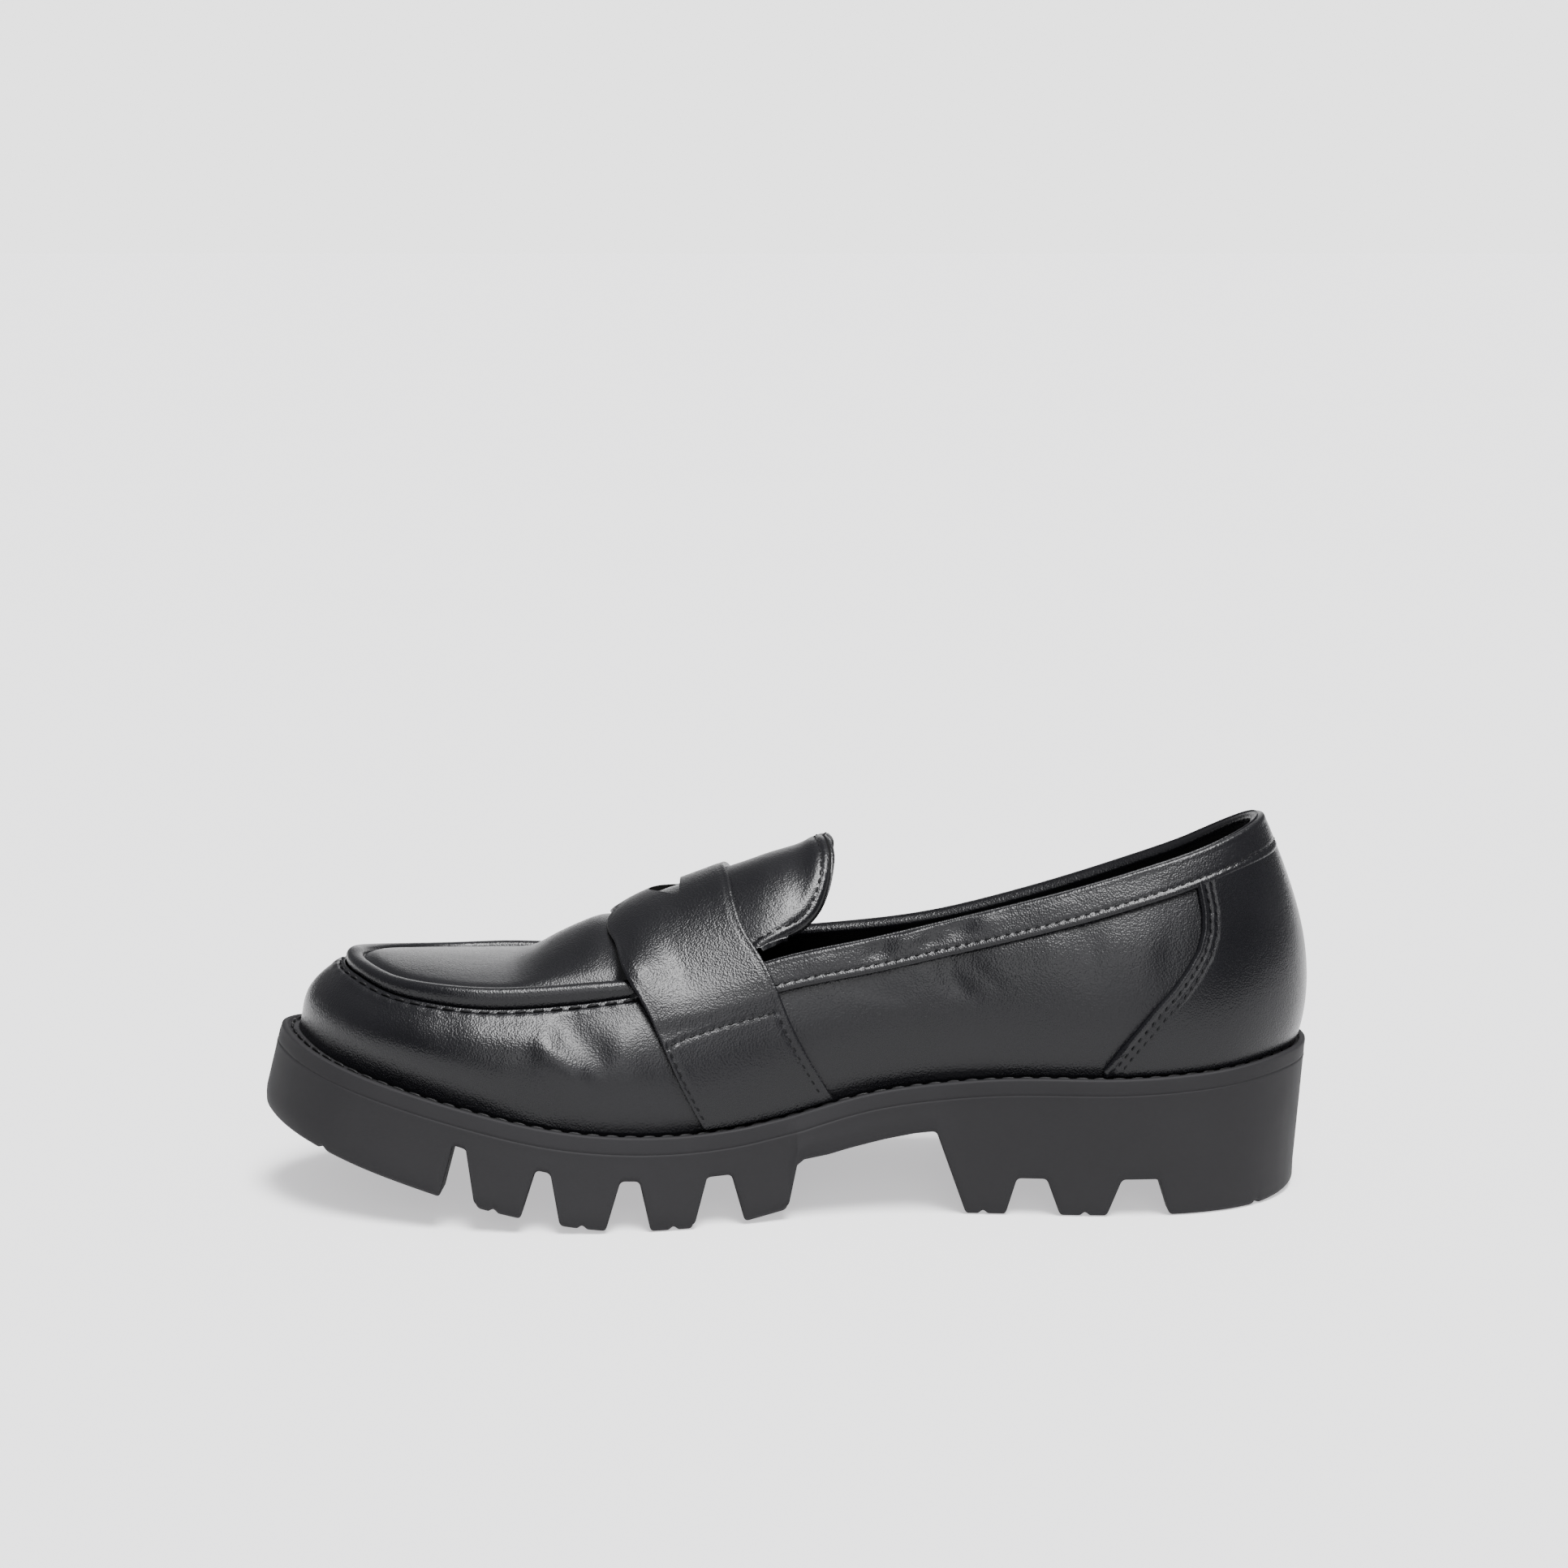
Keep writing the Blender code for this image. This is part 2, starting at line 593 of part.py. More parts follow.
def tongue(side, b):
    """side from -1 to 1 across, b from 0 under the strap to 1 at the free edge."""
    side, b = np.broadcast_arrays(np.asarray(side, float), np.asarray(b, float))
    section = section_at_top_x(THROAT_X + GAP)
    inner, outer = top_y_at(section) + 0.7, top_y_at(other_side(section)) - 0.7
    front_y = np.where(side < 0, -side * inner, side * outer)
    share = np.abs(side)
    edge_x = smooth_table([(r[0], r[1]) for r in TONGUE_EDGE], share)
    edge_y = smooth_table([(r[0], r[2]) for r in TONGUE_EDGE], share) * np.sign(side)
    x = (THROAT_X + GAP) * (1 - b) + edge_x * b
    y = front_y * (1 - b) + edge_y * b
    return np.stack([x, y, instep(x, y)], -1)


def make_tongue():
    builder = bmesh.new()
    sides = np.linspace(-1, 1, 21)
    rows = [add_points(builder, tongue(sides, b)) for b in (0.0, 0.2, 0.4, 0.55, 0.7, 0.85, 1.0)]
    skin(builder, rows, False)
    outward_normals(builder)
    item = object_from(builder, "tongue")
    face_out(item)
    thicken(item, TONGUE_THICK, -1.0)
    return item


# ---------------------------------------------------------------- strap
def strap(place, share):
    """place 0..4 across the foot, share 0 at the front edge and 1 at the rear edge."""
    near = np.minimum(place, 4 - place)
    front = smooth_table([(r[0], r[1]) for r in STRAP_BOTH], near)
    rear = smooth_table([(r[0], r[2]) for r in STRAP_BOTH], near)
    x = front + (rear - front) * share
    low, high = np.zeros_like(x), np.full_like(x, float(LAST))
    for _ in range(34):
        mid = (low + high) / 2
        ahead = over(mid, place)[..., 0] > x
        low, high = np.where(ahead, mid, low), np.where(ahead, high, mid)
    return (low + high) / 2


def make_strap():
    places = np.concatenate([np.linspace(0.02, 1.0, 8), np.linspace(1.0, 3.0, 19)[1:-1], np.linspace(3.0, 3.98, 8)])
    builder = bmesh.new()
    rows = []
    for share in (0.0, 0.12, 0.35, 0.65, 1.0):
        section = strap(places, np.full_like(places, share))
        near = np.minimum(places, 4 - places)
        ride = 1.0 * (1 - share) ** 3 * smooth_step(0.5, 1.0, near) * (1 - smooth_step(1.2, 1.7, near))
        rows.append(add_points(builder, lifted(over, section, places, OVERLAY_GAP + ride)))
    skin(builder, rows, False)
    outward_normals(builder)
    item = object_from(builder, "strap")
    face_out(item)
    thicken(item, STRAP_THICK, 1.0)
    cutter = make_slot_cutter()
    cut = item.modifiers.new("slot", "BOOLEAN")
    cut.operation, cut.solver, cut.object = "DIFFERENCE", "EXACT", cutter
    return item


def make_slot_cutter():
    builder = bmesh.new()
    outline = [(SLOT_STRAIGHT_X, y) for y in (SLOT_LIP[-1][0], -SLOT_LIP[-1][0])]
    outline += [(x, -y) for y, x in SLOT_LIP[::-1]]
    outline += [(x, y) for y, x in SLOT_LIP[1:]]
    rows = [add_points(builder, [(x, y, z) for x, y in outline]) for z in (66.0, 96.0)]
    skin(builder, rows, True)
    builder.faces.new(rows[0])
    builder.faces.new(rows[1])
    outward_normals(builder)
    mesh = bpy.data.meshes.new("slot_cutter")
    builder.to_mesh(mesh)
    builder.free()
    item = bpy.data.objects.new("slot_cutter", mesh)
    bpy.context.scene.collection.objects.link(item)
    item.hide_render = True
    item.display_type = "WIRE"
    return item


# ---------------------------------------------------------------- counter and band
def height_share(section, z):
    """v of a height on the wall."""
    foot_x, _ = rim_inset(section, ledge_at(section))
    foot = rim_height(foot_x) - LEDGE_DROP + GAP + FOOT_LIP
    return (z - foot) / (top_z_at(section) - foot)


def band_low(section):
    drop = smooth_table(BAND_DROP, top_x_at(section))
    return height_share(section, top_z_at(section) - drop)


def counter_section(g, outer):
    """Section where the side seam crosses the line at share g between ledge and band."""
    low, high = 0.0, 8.0
    zs, xs = [r[0] for r in COUNTER_SEAM], [r[1] for r in COUNTER_SEAM]
    for _ in range(36):
        mid = (low + high) / 2
        section = other_side(mid) if outer else mid
        v = 0.02 + (band_low(section) - 0.02 - 0.012) * g
        p = wall(section, v)
        if p[0] > np.interp(p[2], zs, xs):
            low = mid
        else:
            high = mid
    return (low + high) / 2


def make_counter():
    builder = bmesh.new()
    rows = []
    for g in np.linspace(0, 1, 8):
        inner = np.linspace(counter_section(g, False), 0, 15)
        outer = other_side(np.linspace(0, counter_section(g, True), 15))[1:]
        sections = np.concatenate([inner, outer - COUNT])
        v = 0.02 + (band_low(sections) - 0.02 - 0.012) * g
        rows.append(add_points(builder, lifted(wall, sections, v, np.full(len(sections), OVERLAY_GAP))))
    skin(builder, rows, False)
    outward_normals(builder)
    item = object_from(builder, "back_counter")
    face_out(item)
    thicken(item, COUNTER_THICK, 1.0)
    return item


def band_start(g, outer):
    """Section where the band's line at share g meets the strap's rear edge."""
    low, high = 5.0, 12.0
    for _ in range(36):
        mid = (low + high) / 2
        section = other_side(mid) if outer else mid
        v = band_line(section, g)
        rear = smooth_table([(r[0], r[2]) for r in STRAP_BOTH], v)
        if wall(section, v)[0] > rear + 1.0:
            low = mid
        else:
            high = mid
    return (low + high) / 2


def band_line(section, g):
    low = band_low(section)
    return low + (height_share(section, top_z_at(section) - BAND_TOP_INSET) - low) * g


def make_band():
    builder = bmesh.new()
    rows = []
    for g in (0.0, 0.34, 0.67, 1.0):
        sections = np.concatenate([np.linspace(band_start(g, False), 0, 27), -np.linspace(0, band_start(g, True), 27)[1:]])
        v = band_line(sections, g)
        rows.append(add_points(builder, lifted(wall, sections, v, np.full(len(sections), OVERLAY_GAP))))
    skin(builder, rows, False)
    outward_normals(builder)
    item = object_from(builder, "collar_band")
    face_out(item)
    thicken(item, BAND_THICK, 1.0)
    return item


def main():
    clear_scene()
    make_outsole()
    make_insole()
    make_upper()
    make_tongue()
    make_strap()
    make_counter()
    make_band()


main()
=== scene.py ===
"""Chunky lug sole loafer, right foot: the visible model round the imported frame.

The toe points to -X, the heel to +X, the inner side of the foot to -Y. Tables are in millimetres.
"""
import math

import bmesh
import bpy
import numpy as np
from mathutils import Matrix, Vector


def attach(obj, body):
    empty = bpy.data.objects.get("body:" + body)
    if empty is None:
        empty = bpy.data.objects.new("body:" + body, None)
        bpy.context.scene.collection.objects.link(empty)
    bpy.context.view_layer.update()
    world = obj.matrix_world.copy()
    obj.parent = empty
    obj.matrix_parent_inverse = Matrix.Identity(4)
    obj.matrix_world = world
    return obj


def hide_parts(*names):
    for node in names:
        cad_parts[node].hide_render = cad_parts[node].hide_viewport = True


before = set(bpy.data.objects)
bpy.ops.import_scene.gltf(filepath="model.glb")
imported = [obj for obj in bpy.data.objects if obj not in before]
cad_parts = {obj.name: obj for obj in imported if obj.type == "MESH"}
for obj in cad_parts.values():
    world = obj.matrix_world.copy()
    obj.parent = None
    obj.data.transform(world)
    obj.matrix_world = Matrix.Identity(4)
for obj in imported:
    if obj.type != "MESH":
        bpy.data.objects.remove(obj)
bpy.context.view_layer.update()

MM = 0.001
CENTRE = np.array((0.329, -1.039, 0.0))     # middle of the shoe's box in the tables' frame

# ---------------------------------------------------------------- sizes shared with the frame
WALL = 1.7
LEDGE_DROP = 1.0
FOOT_LIP = 1.2
OVERLAY_GAP = 0.45
STRAP_THICK = 1.3
COUNTER_THICK = 1.1
BAND_THICK = 1.1
MOULD_LINE = 4.3
EDGE_ROUND = 1.3
BEAD_WIDE = 5.5
BEAD_OVER = 1.0
THROAT_X = -27.0
LUG_FOOT = 7.0
LUG_DEPTH = 15.5
STRAIGHT_ACROSS = (-5.0, 60.0, 7.0)
GAPS_ACROSS = (-112.0, -92.0, 100.0, 116.0, 0.8)
TREAD_FRONT, TREAD_REAR = -38.0, -18.0
TOE_SPRING, TOE_POWER = 0.0185, 1.56
SHANK_SPRING, SHANK_POWER = 0.022, 1.6
HEEL_BACK_EASE = 0.004, 122.0

# x, y on the inner side, y on the outer side, rim height, ledge width, flare of the side wall
OUTLINE = (
    (140.0, 0.0, 0.0, 40.2, 4.0, -2.7),
    (135.4, -17.0, 17.0, 40.0, 4.0, -2.3),
    (128.0, -26.0, 26.0, 39.4, 4.0, -1.4),
    (118.0, -33.0, 33.0, 38.3, 4.0, -0.6),
    (105.0, -37.4, 37.5, 37.3, 4.0, 0.0),
    (85.0, -39.5, 39.5, 36.5, 4.0, 0.0),
    (60.0, -37.7, 38.6, 36.3, 3.8, 0.3),
    (40.0, -36.2, 38.0, 34.7, 4.0, 0.6),
    (20.0, -37.0, 39.6, 31.7, 4.0, 1.2),
    (0.0, -40.6, 43.2, 26.6, 4.0, 2.4),
    (-20.0, -46.8, 47.5, 24.0, 4.0, 3.2),
    (-40.0, -51.3, 50.2, 24.1, 4.0, 3.5),
    (-60.0, -52.3, 49.4, 26.1, 4.0, 3.6),
    (-80.0, -50.0, 45.3, 30.1, 4.2, 3.7),
    (-100.0, -44.4, 36.8, 34.8, 4.5, 3.9),
    (-115.0, -37.0, 27.0, 38.7, 4.6, 4.1),
    (-124.6, -29.0, 17.5, 41.6, 4.6, 4.3),
    (-131.6, -18.5, 6.5, 43.9, 4.6, 4.4),
    (-135.0, -6.0, -6.0, 45.0, 4.6, 4.4),
)

# x, y and z on the inner side, y and z on the outer side, bulge, lean of the bulge, rise of the bead
TOP_EDGE = (
    (126.0, 0.0, 100.7, 0.0, 100.7, 5.9, 0.82, 0.0),
    (122.8, -9.2, 99.2, 9.2, 98.8, 6.0, 0.82, 0.0),
    (116.3, -15.2, 96.7, 15.2, 94.9, 5.8, 0.85, 0.0),
    (107.6, -19.2, 93.6, 19.2, 90.2, 5.7, 0.87, 0.0),
    (96.5, -22.1, 90.3, 22.1, 85.5, 5.6, 0.90, 0.0),
    (79.5, -24.5, 85.5, 24.5, 79.3, 5.6, 0.92, 0.0),
    (57.5, -26.0, 80.0, 26.3, 72.5, 5.2, 0.95, 0.0),
    (39.0, -27.0, 75.7, 27.6, 68.0, 4.8, 0.95, 0.0),
    (20.0, -28.7, 71.6, 29.0, 65.2, 4.6, 1.00, 0.0),
    (1.0, -30.5, 67.9, 30.2, 63.2, 4.6, 1.00, 0.0),
    (-18.5, -33.3, 62.6, 31.8, 60.0, 5.0, 1.00, 0.0),
    (-37.5, -36.2, 58.6, 33.0, 55.8, 5.5, 1.05, 2.4),
    (-56.0, -37.6, 56.4, 34.0, 54.1, 5.8, 1.10, 3.5),
    (-75.0, -38.3, 55.3, 33.8, 54.3, 5.6, 1.15, 3.8),
    (-92.0, -36.0, 56.6, 31.5, 55.0, 5.0, 1.20, 3.1),
    (-105.0, -29.0, 58.4, 25.0, 56.8, 4.5, 1.25, 2.3),
    (-112.5, -21.0, 60.6, 16.5, 59.0, 4.1, 1.30, 1.6),
    (-116.8, -13.0, 61.6, 6.0, 61.0, 3.9, 1.30, 1.4),
    (-118.3, -4.5, 62.1, -4.5, 62.1, 3.9, 1.30, 1.5),
)

CREST = (
    (-112.5, 63.7), (-104.0, 62.7), (-92.0, 62.2), (-80.0, 61.6), (-70.0, 62.0), (-61.0, 65.3),
    (-52.0, 69.2), (-47.0, 72.0), (-42.5, 75.0), (-36.5, 78.0), (-28.0, 81.0), (-16.4, 85.0),
    (-8.3, 86.7), (-3.9, 88.2), (0.4, 90.0), (4.5, 91.9), (7.6, 94.0), (12.0, 97.2),
)

TONGUE_SIDES = (
    (-6.0, -31.3, 66.3, 31.0, 62.6), (0.0, -31.0, 67.3, 31.0, 65.0),
    (5.6, -31.0, 66.2, 31.0, 65.4), (12.0, -31.0, 64.1, 31.0, 64.1),
)

TONGUE_EDGE = (
    (0.00, 9.4, 0.0), (0.20, 10.5, 6.6), (0.40, 11.5, 13.4), (0.55, 10.9, 18.8),
    (0.70, 8.2, 23.4), (0.85, 2.2, 27.0), (1.00, -6.6, 29.8),
)

STRAP = (
    (0.00, -21.4, 12.4), (0.20, -24.8, 8.4), (0.40, -28.2, 4.6), (0.60, -31.4, 1.0),
    (0.80, -34.8, -2.2), (1.00, -39.0, -5.9), (1.20, -42.4, -10.9), (1.40, -45.2, -13.2),
    (1.65, -46.7, -14.6), (1.82, -46.3, -15.6), (1.94, -43.6, -16.2), (2.00, -42.6, -16.4),
)
STRAP_BOTH = STRAP + tuple((4.0 - row[0], row[1], row[2]) for row in STRAP[-2::-1])

SLOT_STRAIGHT_X = -28.3
SLOT_LIP = ((0.0, -36.8), (4.0, -36.1), (7.5, -34.0), (10.5, -31.6), (13.0, -28.9))

COUNTER_SEAM = ((38.7, 82.6), (43.9, 86.4), (49.3, 90.9), (54.5, 95.3), (59.4, 100.0), (64.1, 103.7),
                (68.8, 106.7), (73.5, 108.2), (78.4, 108.3), (86.0, 107.0))

BAND_DROP = ((-6.0, 8.6), (20.0, 8.9), (60.0, 9.2), (96.0, 9.0), (116.0, 8.9), (128.0, 10.0))

LUG_GAPS = (
    (-88.9, -85.4, -81.9, -79.2),
    (-68.0, -64.0, -60.3, -57.9),
    (-46.2, -42.4, -37.6, -34.8),
    (-24.3, -20.4, -14.1, -10.7),
    (57.5, 60.4, 68.1, 71.6),
    (83.8, 87.7, 97.3, 100.3),
)

TREAD_DEEP = ((-140.0, 14.8), (-83.5, 14.2), (-62.0, 13.0), (-40.0, 12.8), (4.8, 12.8), (39.3, 0.0), (56.6, 0.0),
              (59.0, 9.6), (140.0, 9.6))

WAIST = ((0.2, 2.6), (2.6, 13.9), (4.8, 15.6), (11.0, 16.5), (17.0, 18.0), (26.0, 20.0), (34.0, 21.4),
         (39.3, 21.9), (47.1, 0.0))

# ---------------------------------------------------------------- sizes of the fine parts
NOTCHES = (-118.5, -74.9, -52.2, -29.0, -4.7, 51.6, 78.1, 125.2)     # small grooves across the lugs' feet, x
NOTCH_WIDE, NOTCH_DEEP = 3.0, 0.85
CORNER = 1.2                # rounding of the lugs' corners in side view
SEAM_WIDE = 1.9             # sunk strip between the vamp's edge and the bead
SEAM_DEEP = 0.75
MOC_PITCH = 4.7
LEDGE_PITCH = 4.8
FINE_PITCH = 2.7
BEAD_TAPER = (-40.5, -33.0)     # the bead flattens out here, under the strap
RIM_FOLD = 1.6              # rounding of the collar's folded rim


# ---------------------------------------------------------------- closed smooth curves through the sections
LAST = len(OUTLINE) - 1
COUNT = 2 * LAST


def around(inner, outer):
    return np.array(list(inner) + list(outer)[LAST - 1:0:-1], float)


rim_x = around([row[0] for row in OUTLINE], [row[0] for row in OUTLINE])
rim_y = around([row[1] for row in OUTLINE], [row[2] for row in OUTLINE])
STEP = np.hypot(np.roll(rim_x, -1) - rim_x, np.roll(rim_y, -1) - rim_y)


def closed_curve(values):
    before = np.roll(STEP, 1)
    matrix = np.zeros((COUNT, COUNT))
    rate = (np.roll(values, -1) - values) / STEP
    for i in range(COUNT):
        matrix[i, i - 1] = before[i]
        matrix[i, i] = 2 * (before[i] + STEP[i])
        matrix[i, (i + 1) % COUNT] = STEP[i]
    bend = np.linalg.solve(matrix, 6 * (rate - np.roll(rate, 1)))

    def value(section):
        section = np.mod(np.asarray(section, float), COUNT)
        i = np.minimum(section.astype(int), COUNT - 1)
        j = (i + 1) % COUNT
        h = STEP[i]
        b = section - i
        a = 1 - b
        return (a * values[i] + b * values[j]
                + ((a ** 3 - a) * bend[i] + (b ** 3 - b) * bend[j]) * h * h / 6)

    return value


def column(table, inner, outer):
    return closed_curve(around([row[inner] for row in table], [row[outer] for row in table]))


rim_x_at, rim_y_at = closed_curve(rim_x), closed_curve(rim_y)
rim_z_at, ledge_at, flare_at = (column(OUTLINE, k, k) for k in (3, 4, 5))
top_x_at, top_y_at, top_z_at = column(TOP_EDGE, 0, 0), column(TOP_EDGE, 1, 3), column(TOP_EDGE, 2, 4)
bulge_at, lean_at, rise_at = (column(TOP_EDGE, k, k) for k in (5, 6, 7))

_fine = np.linspace(0, LAST, 400)
_fine_x, _fine_z = rim_x_at(_fine)[::-1], rim_z_at(_fine)[::-1]


def rim_height(x):
    return np.interp(x, _fine_x, _fine_z)


def smooth_table(table, x):
    xs = np.array([row[0] for row in table])
    ys = np.array([row[1] for row in table])
    slope = np.gradient(ys, xs)
    i = np.clip(np.searchsorted(xs, x) - 1, 0, len(xs) - 2)
    h = xs[i + 1] - xs[i]
    t = np.clip((x - xs[i]) / h, 0, 1)
    return ((2 * t ** 3 - 3 * t ** 2 + 1) * ys[i] + (t ** 3 - 2 * t ** 2 + t) * h * slope[i]
            + (3 * t ** 2 - 2 * t ** 3) * ys[i + 1] + (t ** 3 - t ** 2) * h * slope[i + 1])


def smooth_step(a, b, x):
    t = np.clip((np.asarray(x, float) - a) / (b - a), 0, 1)
    return t * t * (3 - 2 * t)


def other_side(section):
    return COUNT - section


def section_at(curve, x, outer=False):
    """Section number where this curve's point has this x."""
    low, high = 0.0, float(LAST)
    for _ in range(40):
        mid = (low + high) / 2
        if curve(other_side(mid) if outer else mid) > x:
            low = mid
        else:
            high = mid
    return (low + high) / 2


def outward(section):
    e = 1e-3
    tx = rim_x_at(section + e) - rim_x_at(section - e)
    ty = rim_y_at(section + e) - rim_y_at(section - e)
    size = np.hypot(tx, ty)
    return -ty / size, tx / size


def rim_inset(section, inset):
    nx, ny = outward(section)
    return rim_x_at(section) - nx * inset, rim_y_at(section) - ny * inset


def even(curve, first, last, step):
    """Parameters from first to last, evenly spaced along a curve of points."""
    fine = np.linspace(first, last, 2400)
    run = length_along(curve(fine))
    count = max(2, int(round(run[-1] / step)))
    return np.interp(np.linspace(0, run[-1], count + 1), run, fine)


def length_along(points):
    return np.concatenate([[0.0], np.cumsum(np.linalg.norm(np.diff(points, axis=0), axis=1))])


# ---------------------------------------------------------------- surfaces
def wall(section, v):
    """Point on the lasted wall: v is 0 at the ledge and 1 at the seam or top line."""
    foot_x, foot_y = rim_inset(section, ledge_at(section))
    foot_z = rim_height(foot_x) - LEDGE_DROP + 0.35 + FOOT_LIP
    nx, ny = outward(section)
    swell = bulge_at(section) * np.sin(np.pi * np.clip(v, 0, 1) ** lean_at(section))
    x = foot_x + (top_x_at(section) - foot_x) * v + nx * swell
    y = foot_y + (top_y_at(section) - foot_y) * v + ny * swell
    z = foot_z + (top_z_at(section) - foot_z) * v
    return np.stack(np.broadcast_arrays(x, y, z), -1)


def bead_strength(section):
    return 1.0 - smooth_step(-44.0, -38.5, top_x_at(section))


def apron_edge(section):
    nx, ny = outward(section)
    strength = bead_strength(section)
    x = top_x_at(section) - nx * BEAD_WIDE * strength
    y = top_y_at(section) - ny * BEAD_WIDE * strength
    z = top_z_at(section) + rise_at(section) * strength
    return np.stack(np.broadcast_arrays(x, y, z), -1)


def apron(section, s):
    """Point of the apron: s runs from -1 at the inner edge to 1 at the outer edge of one section."""
    inner, outer = apron_edge(section), apron_edge(other_side(section))
    share = (np.asarray(s) + 1)[..., None] / 2
    p = inner * (1 - share) + outer * share
    middle = (inner + outer) / 2
    crown = smooth_table(CREST, middle[..., 0]) - middle[..., 2]
    width = np.linalg.norm(outer - inner, axis=-1)
    crown = crown * smooth_step(0.0, 14.0, width)
    p[..., 2] += crown * (1 - np.asarray(s) ** 2)
    return p


def over(section, place):
    """Across the whole foot: place 0 and 4 at the ledge, 1 and 3 at the seams, 2 in the middle."""
    section, place = np.broadcast_arrays(np.asarray(section, float), np.asarray(place, float))
    far = other_side(section)
    low = wall(section, np.clip(place, 0, 1))
    high = wall(far, np.clip(4 - place, 0, 1))
    mid = apron(section, np.clip(place - 2, -1, 1))
    return np.where((place < 1)[..., None], low, np.where((place > 3)[..., None], high, mid))


def facing(grid, wrap=False):
    """Unit normals of a grid of points, away from the inside of the shoe."""
    if wrap:
        across = np.roll(grid, -1, 1) - np.roll(grid, 1, 1)
    else:
        across = np.gradient(grid, axis=1)
    normal = np.cross(np.gradient(grid, axis=0), across)
    size = np.linalg.norm(normal, axis=-1, keepdims=True)
    normal = normal / np.maximum(size, 1e-9)
    away = grid - np.stack([grid[..., 0], grid[..., 1] * 0, grid[..., 2] * 0 + 45.0], -1)
    return -normal if (normal * away).sum() < 0 else normal


def wall_normal(section, v):
    e = 2e-3
    da = wall(section + e, v) - wall(section - e, v)
    db = wall(section, np.minimum(v + e, 1.0)) - wall(section, np.minimum(v, 1.0 - e) - e)
    normal = np.cross(db, da)
    return normal / np.maximum(np.linalg.norm(normal, axis=-1, keepdims=True), 1e-9) * _wall_sign


_wall_sign = 1.0
if wall_normal(np.array([9.0]), np.array([0.5]))[0, 1] > 0:
    _wall_sign = -1.0


def distance_to(points, line):
    """Distance of each point to a line of close points, and how far along the line that is."""
    flat = points.reshape(-1, 3)
    run = length_along(line)
    best = np.full(len(flat), 1e9)
    at = np.zeros(len(flat))
    for k in range(0, len(flat), 4000):
        gap = np.linalg.norm(flat[k:k + 4000, None, :] - line[None, :, :], axis=-1)
        i = gap.argmin(axis=1)
        best[k:k + 4000] = gap[np.arange(len(i)), i]
        at[k:k + 4000] = run[i]
    return best.reshape(points.shape[:-1]), at.reshape(points.shape[:-1])


# ---------------------------------------------------------------- soft forms of the leather
# side, x and z of both ends, half width, height (hollows are negative)
WALL_FORMS = (
    (-1, -84.0, 50.5, -62.0, 49.0, 5.0, 0.55),
    (-1, -63.5, 47.5, -51.5, 38.0, 3.6, 0.95),
    (-1, -58.0, 52.0, -46.0, 43.5, 4.2, -0.75),
    (-1, -70.0, 40.0, -58.0, 33.0, 6.0, -0.45),
    (-1, -44.0, 50.0, -38.0, 36.0, 4.5, 0.35),
    (-1, 26.0, 66.0, 40.0, 63.5, 5.5, 0.45),
    (-1, 50.0, 66.5, 74.0, 69.0, 8.0, 0.55),
    (-1, 82.0, 70.0, 97.0, 68.0, 7.0, 0.45),
    (-1, 41.0, 67.0, 46.0, 58.0, 3.0, -0.35),
    (-1, 14.0, 60.5, 31.0, 57.0, 1.6, -0.22),
    (-1, 17.0, 63.2, 34.0, 58.6, 1.6, -0.20),
    (-1, 22.0, 65.6, 38.0, 60.2, 1.6, -0.20),
    (-1, 36.0, 64.8, 50.0, 57.5, 1.8, -0.22),
    (-1, 47.0, 66.5, 56.0, 60.0, 1.8, -0.18),
    (1, -66.0, 46.0, -50.0, 38.5, 4.0, 0.7),
    (1, -60.0, 50.0, -46.0, 43.0, 4.5, -0.6),
    (1, 24.0, 57.0, 44.0, 60.0, 6.0, 0.45),
    (1, 56.0, 60.0, 84.0, 63.0, 8.0, 0.5),
    (1, 16.0, 55.0, 30.0, 50.0, 1.8, -0.2),
    (1, 26.0, 57.0, 40.0, 51.0, 1.8, -0.2),
)


def soft_forms(points, forms):
    """Height of the soft ridges and hollows at these points of a side wall."""
    x, y, z = points[..., 0], points[..., 1], points[..., 2]
    total = np.zeros(x.shape)
    for side, ax, az, bx, bz, wide, high in forms:
        dx, dz = bx - ax, bz - az
        size = dx * dx + dz * dz
        t = ((x - ax) * dx + (z - az) * dz) / size
        along = np.clip(t, 0, 1)
        off = np.hypot(x - ax - along * dx, z - az - along * dz)
        fade = smooth_step(-0.25, 0.25, t) * (1 - smooth_step(0.75, 1.25, t))
        near = (y * side > 0).astype(float)
        total += near * high * fade * np.exp(-(off / wide) ** 2)
    return total


# ---------------------------------------------------------------- mesh helpers
def quads(rows, columns, wrap_rows=False, wrap_columns=False, start=0):
    r = np.arange(rows if wrap_rows else rows - 1)
    c = np.arange(columns if wrap_columns else columns - 1)
    rr, cc = np.meshgrid(r, c, indexing="ij")
    r2, c2 = (rr + 1) % rows, (cc + 1) % columns
    return (np.stack([rr * columns + cc, rr * columns + c2, r2 * columns + c2, r2 * columns + cc], -1)
            .reshape(-1, 4) + start).tolist()


